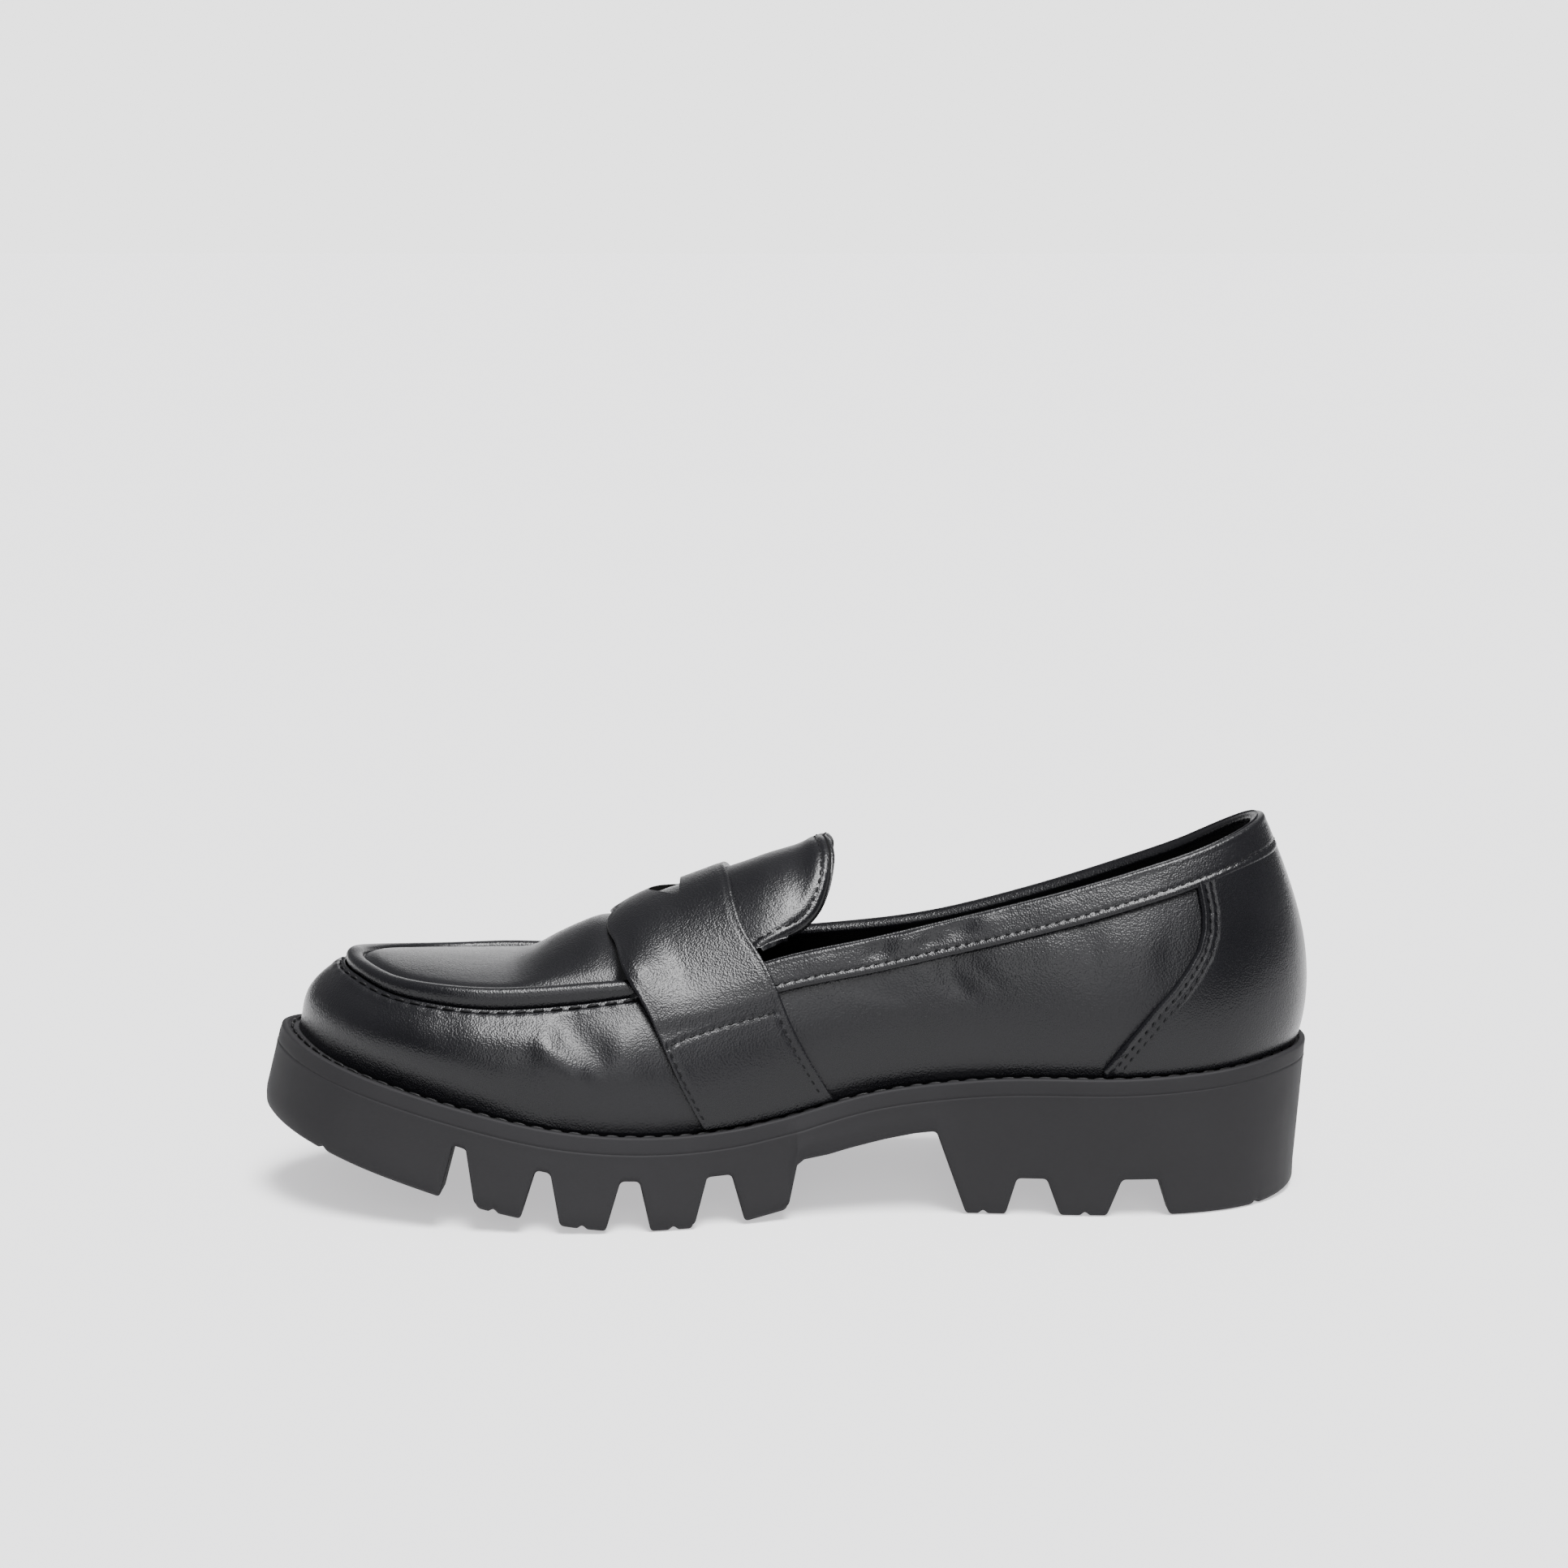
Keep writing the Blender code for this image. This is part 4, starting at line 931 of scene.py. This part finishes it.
def make_tongue():
    sides = np.linspace(-1, 1, 111)
    b = 1 - (1 - np.linspace(0, 1, 62)) ** 1.35
    grid = tongue(sides[None, :], b[:, None])
    kernel = np.exp(-(np.arange(-6, 7) / 3.0) ** 2)
    kernel /= kernel.sum()
    padded = np.pad(grid, ((6, 6), (0, 0), (0, 0)), mode="reflect", reflect_type="odd")
    smooth = sum(kernel[k] * padded[k:k + len(grid)] for k in range(13))
    grid[..., 2] = smooth[..., 2] + 1.45 * np.exp(-((grid[..., 0] + 6.0) / 8.5) ** 2)
    normal = facing(grid)
    edge = tongue(np.linspace(-1, 1, 600), 1.0)
    edge[:, 2] = np.interp(np.linspace(-1, 1, 600), sides, grid[-1, :, 2])
    off, run = distance_to(grid, edge)
    row = np.exp(-((off - 2.4) / 0.55) ** 2) * (0.6 + 0.4 * np.cos(2 * np.pi * run / FINE_PITCH))
    roll = 0.35 * np.clip(1 - off / 0.7, 0, 1) ** 2
    roll = roll + 1.5 * np.clip(1 - off / 5.0, 0, 1) ** 2 * smooth_step(-6.0, 5.0, grid[..., 0])
    top = grid + normal * (0.18 * np.exp(-((off - 1.2) / 0.7) ** 2) - 0.22 * row - roll)[..., None]
    points, faces = leaf(top, normal, 1.1)
    piece("tongue_top", points, faces, [SMOOTH], "tongue", sharp=50)
    under = grid - normal * 1.15
    under = under[:, 2:-2]
    under_n = normal[:, 2:-2]
    under = under[:-1] + (under[1:] - under[:-1]) * 0.2
    points, faces = leaf(under, under_n[:-1], 0.9)
    piece("tongue_lining", points, faces, [LINING], "tongue", sharp=50)
    path, up = [], []
    for c in range(len(sides)):
        column_off = off[:, c]
        if column_off.max() > 2.4:
            k = int(np.argmax(column_off < 2.4)) - 1
            t = (column_off[k] - 2.4) / (column_off[k] - column_off[k + 1])
            path.append(top[k, c] * (1 - t) + top[k + 1, c] * t)
            up.append(normal[k, c])
    points, faces = stitches(np.array(path), np.array(up), FINE_PITCH, 1.9, 0.26, 0.10)
    piece("tongue_stitches", points, faces, [THREAD], None, weld=0)


# ---------------------------------------------------------------- strap
def strap(place, share):
    near = np.minimum(place, 4 - place)
    front = smooth_table([(r[0], r[1]) for r in STRAP_BOTH], near)
    rear = smooth_table([(r[0], r[2]) for r in STRAP_BOTH], near)
    x = front + (rear - front) * share
    low, high = np.zeros_like(x), np.full_like(x, float(LAST))
    for _ in range(30):
        mid = (low + high) / 2
        ahead = over(mid, place)[..., 0] > x
        low, high = np.where(ahead, mid, low), np.where(ahead, high, mid)
    return (low + high) / 2


STRAP_ROW = ((0.03, 0.615), (0.20, 0.65), (0.50, 0.68), (0.935, 0.68))      # share across the strap, place up the side
STRAP_ROW_EDGES = (0.035, 0.935)
STRAP_ROW_FOOT = 0.06


def make_strap():
    places = np.concatenate([np.linspace(0.015, 1.0, 70), np.linspace(1.0, 3.0, 111)[1:-1], np.linspace(3.0, 3.985, 70)])
    edge = np.array([0.0, 0.004, 0.012, 0.024, 0.04])
    shares = np.concatenate([edge, np.linspace(0.06, 0.94, 44), 1 - edge[::-1]])
    pp, ss = np.meshgrid(places, shares, indexing="ij")
    sections = strap(pp, ss)
    grid = over(sections, pp)
    kernel = np.exp(-(np.arange(-8, 9) / 4.0) ** 2)
    kernel /= kernel.sum()
    padded = np.pad(grid, ((8, 8), (0, 0), (0, 0)), mode="reflect", reflect_type="odd")
    smooth = sum(kernel[k] * padded[k:k + len(grid)] for k in range(17))
    grid = smooth
    normal = facing(grid)
    near = np.minimum(pp, 4 - pp)
    ride = 2.1 * np.exp(-((near - 1.10) / 0.19) ** 2) * (1 - smooth_step(0.0, 0.45, ss))
    ride += 0.35 * np.exp(-((near - 1.1) / 0.5) ** 2)
    puff = 0.55 * smooth_step(0.69, 0.80, near) * (1 - smooth_step(0.85, 1.05, near))
    lift_rear = 0.2 * smooth_step(0.8, 1.0, ss) * smooth_step(1.0, 1.3, near)
    lift = OVERLAY_GAP + STRAP_THICK + ride + puff + lift_rear
    # the stitched panel at the foot of each end
    rows = []
    for far in (False, True):
        def at(place, share):
            p = np.full_like(share, place) if np.isscalar(place) else place
            return (4 - p if far else p), share
        share = np.linspace(STRAP_ROW_EDGES[0], STRAP_ROW_EDGES[1], 160)
        rows.append(at(np.interp(share, [r[0] for r in STRAP_ROW], [r[1] for r in STRAP_ROW]), share))
        for k, edge_share in enumerate(STRAP_ROW_EDGES):
            place = np.linspace(STRAP_ROW[-k][1] - 0.015, STRAP_ROW_FOOT, 160)
            rows.append(at(place, np.full_like(place, edge_share)))

    def on_surface(field, place, share):
        """Value of a field over the grid at a place and share."""
        i = np.interp(place, places, np.arange(len(places)))
        j = np.interp(share, shares, np.arange(len(shares)))
        i0, j0 = np.minimum(i.astype(int), len(places) - 2), np.minimum(j.astype(int), len(shares) - 2)
        a, b = (i - i0)[:, None], (j - j0)[:, None]
        return ((field[i0, j0] * (1 - b) + field[i0, j0 + 1] * b) * (1 - a)
                + (field[i0 + 1, j0] * (1 - b) + field[i0 + 1, j0 + 1] * b) * a)

    base = grid + normal * lift[..., None]
    dent = np.zeros(pp.shape)
    threads = []
    for place, share in rows:
        line = on_surface(base, place, share)
        off, run = distance_to(base, line)
        dent -= 0.40 * np.exp(-(off / 0.46) ** 2) * (0.62 + 0.38 * np.cos(2 * np.pi * run / FINE_PITCH))
        dent += 0.04 * np.exp(-((off - 1.5) / 0.8) ** 2)
    width = np.linalg.norm(base[:, -1] - base[:, 0], axis=-1)[:, None]
    off_edge = np.minimum(ss, 1 - ss) * width
    rim = 0.22 * np.clip(1 - off_edge / 0.5, 0, 1) ** 2
    crease = -0.10 * np.exp(-((off_edge - 1.4) / 0.45) ** 2) * (near > 0.7)
    top = base + normal * (dent - rim + crease)[..., None]
    for place, share in rows:
        threads.append(stitches(on_surface(top, place, share), on_surface(normal, place, share),
                                FINE_PITCH, 1.7, 0.24, 0.03, 0.10))
    points, faces = leaf(top, normal, STRAP_THICK)
    item = piece("saddle_strap", points, faces, [OVERLAY, EDGE], "strap", weld=0)
    # half-moon slot
    lip = [(SLOT_STRAIGHT_X, y) for y in (SLOT_LIP[-1][0], -SLOT_LIP[-1][0])]
    curve_y = np.linspace(-SLOT_LIP[-1][0], SLOT_LIP[-1][0], 41)[1:-1]
    lip += [(float(smooth_table(SLOT_LIP, np.abs(y))), y) for y in curve_y]
    size = len(lip)
    ends = [(x, y, z) for z in (70.0, 100.0) for x, y in lip]
    cut_faces = [[i, (i + 1) % size, (i + 1) % size + size, i + size] for i in range(size)]
    cut_faces += [list(range(size)), list(range(size, 2 * size))]
    cutter = piece("slot_cutter", ends, cut_faces, [EDGE], weld=0)
    cut = item.modifiers.new("slot", "BOOLEAN")
    cut.operation, cut.solver, cut.object = "DIFFERENCE", "EXACT", cutter
    bpy.context.view_layer.update()
    cut_mesh = bpy.data.meshes.new_from_object(item.evaluated_get(bpy.context.evaluated_depsgraph_get()))
    item.modifiers.clear()
    item.data = cut_mesh
    bpy.data.objects.remove(cutter, do_unlink=True)
    cut_mesh.set_sharp_from_angle(angle=math.radians(50))
    points, faces = joined(threads)
    piece("strap_stitches", points, faces, [THREAD], None, weld=0)


# ---------------------------------------------------------------- counter and band
def height_share(section, z):
    foot_x, _ = rim_inset(section, ledge_at(section))
    foot = rim_height(foot_x) - LEDGE_DROP + 0.35 + FOOT_LIP
    return (z - foot) / (top_z_at(section) - foot)


def band_low(section):
    drop = smooth_table(BAND_DROP, top_x_at(section))
    return height_share(section, top_z_at(section) - drop)


def counter_sections(g, outer):
    low, high = np.zeros_like(g), np.full_like(g, 8.0)
    zs, xs = [r[0] for r in COUNTER_SEAM], [r[1] for r in COUNTER_SEAM]
    for _ in range(36):
        mid = (low + high) / 2
        section = other_side(mid) if outer else mid
        v = 0.004 + (band_low(section) + 0.02 - 0.004) * g
        p = wall(section, v)
        ahead = p[:, 0] > np.interp(p[:, 2], zs, xs)
        low, high = np.where(ahead, mid, low), np.where(ahead, high, mid)
    return (low + high) / 2


def make_counter():
    g = np.linspace(0, 1, 64)
    inner, outer = counter_sections(g, False), counter_sections(g, True)
    t = np.concatenate([[0.0, 0.002, 0.006, 0.012, 0.02], np.linspace(0.03, 1.0, 92)])
    left = inner[:, None] * (1 - t[None, :])
    right = -outer[:, None] * (1 - t[::-1][None, :])
    sections = np.concatenate([left, right[:, 1:]], 1)
    gg = np.broadcast_to(g[:, None], sections.shape)
    v = 0.004 + (band_low(sections) + 0.02 - 0.004) * gg
    grid = wall(sections, v)
    normal = wall_normal(sections, v)
    threads = []
    height = np.full(grid.shape[:2], OVERLAY_GAP + COUNTER_THICK)
    for column_index in (0, -1):
        edge = grid[:, column_index]
        fine_edge = np.stack([np.interp(np.linspace(0, 63, 400), np.arange(64), edge[:, k]) for k in range(3)], -1)
        off, run = distance_to(grid, fine_edge)
        height += 0.45 * np.exp(-((off - 0.9) / 0.55) ** 2) - 0.40 * np.clip(1 - off / 0.6, 0, 1) ** 2
        for level in (2.3, 3.9):
            height -= 0.42 * np.exp(-((off - level) / 0.45) ** 2) * (0.65 + 0.35 * np.cos(2 * np.pi * run / FINE_PITCH))
        height += 0.12 * np.exp(-((off - 3.1) / 0.5) ** 2)
        for level in (2.3, 3.9):
            path, up = [], []
            for r in range(2, 64):
                half = slice(0, 97) if column_index == 0 else slice(-97, None)
                d = off[r, half] if column_index == 0 else off[r, half][::-1]
                p = grid[r, half] if column_index == 0 else grid[r, half][::-1]
                n = normal[r, half] if column_index == 0 else normal[r, half][::-1]
                k = int(np.argmax(d > level)) - 1
                share = (level - d[k]) / (d[k + 1] - d[k])
                q = p[k] * (1 - share) + p[k + 1] * share
                path.append(q + n[k] * (OVERLAY_GAP + COUNTER_THICK - 0.12))
                up.append(n[k])
            threads.append(stitches(np.array(path), np.array(up), FINE_PITCH, 1.7, 0.22, 0.06, 0.1))
    top = grid + normal * height[..., None]
    points, faces = leaf(top, normal, COUNTER_THICK + 0.3)
    piece("heel_counter", points, faces, [HEEL], "back_counter", weld=0, sharp=55)
    points, faces = joined(threads)
    piece("counter_stitches", points, faces, [THREAD], None, weld=0)


def band_start(outer):
    low, high = 5.0, 12.0
    for _ in range(36):
        mid = (low + high) / 2
        section = other_side(mid) if outer else mid
        v = band_low(section) * 0.5 + 0.5
        rear = smooth_table([(r[0], r[2]) for r in STRAP_BOTH], v)
        if wall(section, v)[0] > rear - 5.0:
            low = mid
        else:
            high = mid
    return (low + high) / 2


# side, x along the top line, distance under the top line, half width, height
BAND_FORMS = (
    (-1, 24.5, 4.5, 4.0, -0.55), (-1, 31.0, 3.0, 4.5, 0.45), (-1, 38.0, 5.0, 3.2, -0.35), (-1, 45.5, 4.0, 4.0, -0.45),
    (-1, 52.0, 3.5, 4.0, 0.35), (-1, 9.0, 4.5, 5.0, 0.25), (-1, 70.0, 4.0, 6.0, 0.2), (-1, 92.0, 4.0, 5.0, -0.15),
    (1, 30.0, 4.0, 5.0, -0.4), (1, 41.0, 4.0, 5.0, 0.35), (1, 55.0, 4.5, 4.5, -0.35), (1, 78.0, 4.0, 6.0, 0.25),
)


def make_band():
    first, last = band_start(False), band_start(True)
    sections = np.concatenate([even(lambda s: wall(s, 1.0), first, 0.0, 0.62), even(lambda s: wall(-s, 1.0), 0.0, last, 0.62)[1:] * -1])
    low = band_low(sections)
    base_line = wall(sections, low)
    run = length_along(base_line)
    speed = np.linalg.norm(wall(sections, 1.0) - wall(sections, 0.985), axis=-1) / 0.015
    drop = (1 - low) * speed
    near = np.array([0.0, 0.12, 0.35, 0.7, 1.1, 1.5, 1.9, 2.3, 2.7, 3.1, 3.6, 4.2])
    rest = np.linspace(0, 1, 14)[1:]
    outer_rows = []
    heights = []
    thick = OVERLAY_GAP + BAND_THICK
    for d in near:
        outer_rows.append(low + d / speed)
        pull = 1.0 * np.exp(-((d - 2.2) / 0.45) ** 2) * (0.62 + 0.38 * np.cos(2 * np.pi * run / FINE_PITCH))
        heights.append(thick - 0.5 * max(0.0, 1 - d / 0.5) ** 2 - 0.30 * pull + 0.16 * math.exp(-((d - 1.1) / 0.6) ** 2))
    start = low + near[-1] / speed
    end = 1 - RIM_FOLD / speed
    for t in rest:
        outer_rows.append(start + (end - start) * t)
        heights.append(np.full(len(sections), thick) - 0.05 * np.exp(-(((1 - t) * drop * 0.5 - 1.2) / 0.8) ** 2))
    v = np.array(outer_rows)
    s = np.broadcast_to(sections, v.shape)
    grid, normal = wall(s, v), wall_normal(s, v)
    height = np.array(heights)
    top_x = top_x_at(s)
    under = (1 - v) * speed
    side = np.where(grid[..., 1] < 0, -1, 1)
    for which, x, depth, wide, high in BAND_FORMS:
        bump_at = np.exp(-((top_x - x) / wide) ** 2 - ((under - depth) / (wide * 0.62)) ** 2)
        height = height + high * bump_at * (side == which)
    outer = grid + normal * height[..., None]
    # the fold over the top line, then the inner face
    n1 = wall_normal(sections, np.ones_like(sections))
    up = wall(sections, 1.0) - wall(sections, 0.97)
    up /= np.linalg.norm(up, axis=-1, keepdims=True)
    total = thick + WALL + 0.8
    centre = wall(sections, 1 - RIM_FOLD / speed) + n1 * ((thick - WALL - 0.8) / 2)
    fold = []
    for turn in np.linspace(0, np.pi, 13)[1:-1]:
        c, z = math.cos(turn), math.sin(turn)
        c = math.copysign(abs(c) ** 0.80, c)
        fold.append(centre + n1 * (c * total / 2) + up * (z ** 0.92 * (RIM_FOLD - 0.35)))
    inner = []
    for d in (RIM_FOLD, 2.6, 3.6, 5.0, 7.0, 9.0):
        vi = 1 - d / speed
        gap = 0.8 if d < 8 else 0.35
        inner.append(wall(sections, vi) - wall_normal(sections, vi) * (WALL + gap))
    back = []
    for d in (9.0, 5.0, 2.2):
        vi = 1 - d / speed
        back.append(wall(sections, vi) - wall_normal(sections, vi) * (WALL * (0.9 if d > 8 else 0.5)))
    under_edge = wall(sections, low + 0.6 / speed) + wall_normal(sections, low) * 0.1
    rings = np.concatenate([outer, np.array(fold), np.array(inner), np.array(back), under_edge[None]])
    points, faces = swept(np.swapaxes(rings, 0, 1), False)
    rows = len(rings)
    edge_from = len(outer) + len(fold)
    which = [1 if edge_from + 1 <= k % rows < edge_from + len(inner) else 0 for k in range(len(faces) - 2)] + [0, 0]
    piece("collar", points, faces, [OVERLAY, LINING], "collar_band", which, weld=0, sharp=65)
    k = int(np.argmin(np.abs(near - 2.3)))
    path = outer[k] * 0.75 + outer[k - 1] * 0.25
    points, faces = stitches(path + normal[k] * 0.02, normal[k], FINE_PITCH, 1.7, 0.22, 0.06, 0.1)
    piece("collar_stitches", points, faces, [THREAD], None, weld=0)


# ---------------------------------------------------------------- thread on the moc seam and the ledge
def make_moc_stitches():
    start, end = section_at(top_x_at, -36.0), other_side(section_at(top_x_at, -36.0, True))
    sections = even(lambda s: wall(s, 1.0), start, end, 0.4)
    speed = np.linalg.norm(wall(sections, 1.0) - wall(sections, 0.985), axis=-1) / 0.015
    v = 1 - 1.05 / speed
    normal = wall_normal(sections, v)
    path = wall(sections, v) - normal * (SEAM_DEEP - 0.05)
    points, faces = stitches(path, normal, MOC_PITCH, 3.5, 0.42, 0.22, 0.05)
    piece("moc_stitches", points, faces, [THREAD], None, weld=0)


def make_ledge_stitches():
    sections = even(lambda s: np.stack([rim_x_at(s), rim_y_at(s)], -1), 0.0, float(COUNT), 0.5)
    x, y = rim_inset(sections, 2.85)
    edge_x, _ = rim_x_at(sections), None
    path = np.stack([x, y, rim_height(edge_x) - 0.42], -1)
    normal = np.zeros_like(path)
    normal[:, 2] = 1.0
    points, faces = stitches(path, normal, LEDGE_PITCH, 3.7, 0.38, 0.04, 0.0, True, 0.6)
    piece("ledge_stitches", points, faces, [WELT], None, weld=0)


make_outsole()
make_wall()
make_bead()
make_apron()
make_tongue()
make_strap()
make_counter()
make_band()
make_moc_stitches()
make_ledge_stitches()
for node, made in (("insole", LINING),):
    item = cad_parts[node]
    item.data.materials.clear()
    item.data.materials.append(made)


# ---------------------------------------------------------------- floor, light and camera
def make_stage():
    mesh = bpy.data.meshes.new("floor")
    size = 40.0
    mesh.from_pydata([(-size, -size, -1e-4), (size, -size, -1e-4), (size, size, -1e-4), (-size, size, -1e-4)], [], [(0, 1, 2, 3)])
    floor = bpy.data.objects.new("floor", mesh)
    bpy.context.scene.collection.objects.link(floor)
    made, nodes, links, shader = blank("floor_paint")
    place = nodes.new("ShaderNodeTexCoord").outputs["Object"]
    links.new(tinted(nodes, links, noise(nodes, links, place, 3.0), FLOOR_DARK, FLOOR_LIGHT), shader.inputs["Base Color"])
    shader.inputs["Roughness"].default_value = 0.9
    shader.inputs["Specular IOR Level"].default_value = 0.1
    shader.inputs["Emission Color"].default_value = (1.0, 0.985, 1.01, 1.0)
    shader.inputs["Emission Strength"].default_value = 0.68
    mesh.materials.append(made)


FLOOR_DARK, FLOOR_LIGHT = (0.565, 0.565, 0.565), (0.575, 0.575, 0.575)
BACKDROP = (2.62, 2.62, 2.62)
# the studio's brightness by the angle over the shoe, from the horizon on the near side over the top to the far horizon
STUDIO = ((0, 0.25), (20, 0.22), (40, 0.35), (60, 0.40), (90, 0.40), (120, 0.45), (145, 0.30), (180, 0.40))
KEY = ((0, 0.0), (30, 0.0), (50, 0.02), (66, 1.0), (83, 1.0), (93, 0.0), (180, 0.0))       # softbox overhead, by the same angle
FAR = ((0, 0.0), (60, 0.0), (100, 0.0), (140, 0.0), (153, 0.25), (163, 1.0), (180, 1.0))    # lit wall behind the shoe
NEAR = ((0, 0.2), (7, 0.35), (15, 0.9), (24, 1.0), (31, 1.0), (40, 0.2), (58, 0.12), (180, 0.0))        # weak fill on the camera's side
KEY_POWER, KEY_MIDDLE, KEY_HALF, KEY_SOFT = 60.0, 0.12, 0.08, 0.15                          # strength and extent along the shoe
FAR_POWER, FAR_MIDDLE, FAR_HALF, FAR_SOFT = 1.75, 0.04, 0.10, 0.20
NEAR_POWER, NEAR_MIDDLE, NEAR_HALF, NEAR_SOFT = 4.6, 0.06, 0.24, 0.13


def make_light():
    world = bpy.data.worlds.new("studio")
    bpy.context.scene.world = world
    world.use_nodes = True
    nodes, links = world.node_tree.nodes, world.node_tree.links
    back = nodes["Background"]
    way = nodes.new("ShaderNodeTexCoord").outputs["Generated"]
    split = nodes.new("ShaderNodeSeparateXYZ")
    links.new(way, split.inputs[0])
    toward = math_node(nodes, links, "MULTIPLY", split.outputs["Y"], -1.0)
    angle = math_node(nodes, links, "ARCTAN2", split.outputs["Z"], toward)
    share = mapped(nodes, links, angle, 0.0, math.pi, 0.0, 1.0)
    parts = []
    for table in (STUDIO, KEY, FAR, NEAR):
        ramp = nodes.new("ShaderNodeValToRGB")
        ramp.color_ramp.interpolation = "EASE"
        elements = ramp.color_ramp.elements
        while len(elements) < len(table):
            elements.new(0.5)
        for element, (degrees, value) in zip(elements, table):
            element.position = degrees / 180
            element.color = (value, value, value, 1.0)
        links.new(share, ramp.inputs["Fac"])
        parts.append(ramp.outputs["Color"])
    light = parts[0]
    for part, power, middle, half, soft in ((parts[1], KEY_POWER, KEY_MIDDLE, KEY_HALF, KEY_SOFT),
                                            (parts[2], FAR_POWER, FAR_MIDDLE, FAR_HALF, FAR_SOFT),
                                            (parts[3], NEAR_POWER, NEAR_MIDDLE, NEAR_HALF, NEAR_SOFT)):
        aside = math_node(nodes, links, "ABSOLUTE", math_node(nodes, links, "SUBTRACT", split.outputs["X"], middle), 0.0)
        reach = mapped(nodes, links, aside, half, half + soft, power, 0.0)
        light = math_node(nodes, links, "ADD", light, math_node(nodes, links, "MULTIPLY", part, reach))
    seen = nodes.new("ShaderNodeLightPath").outputs["Is Camera Ray"]
    plain = nodes.new("ShaderNodeBackground")
    plain.inputs["Color"].default_value = (*BACKDROP, 1.0)
    plain.inputs["Strength"].default_value = 1.0
    back.inputs["Color"].default_value = (1.0, 1.0, 1.01, 1.0)
    links.new(light, back.inputs["Strength"])
    mix = nodes.new("ShaderNodeMixShader")
    links.new(seen, mix.inputs[0])
    links.new(back.outputs[0], mix.inputs[1])
    links.new(plain.outputs[0], mix.inputs[2])
    links.new(mix.outputs[0], nodes["World Output"].inputs["Surface"])


def make_camera():
    camera = bpy.data.cameras.new("camera")
    camera.sensor_width = 36.0
    camera.lens = 36.0 * 4300 / 1932
    camera.clip_start, camera.clip_end = 0.01, 200.0
    item = bpy.data.objects.new("camera", camera)
    item.location = (-0.000769, -0.919601, 0.25381)
    item.rotation_euler = (math.radians(81), 0.0, 0.0)
    bpy.context.scene.collection.objects.link(item)
    bpy.context.scene.camera = item


make_stage()
make_light()
make_camera()
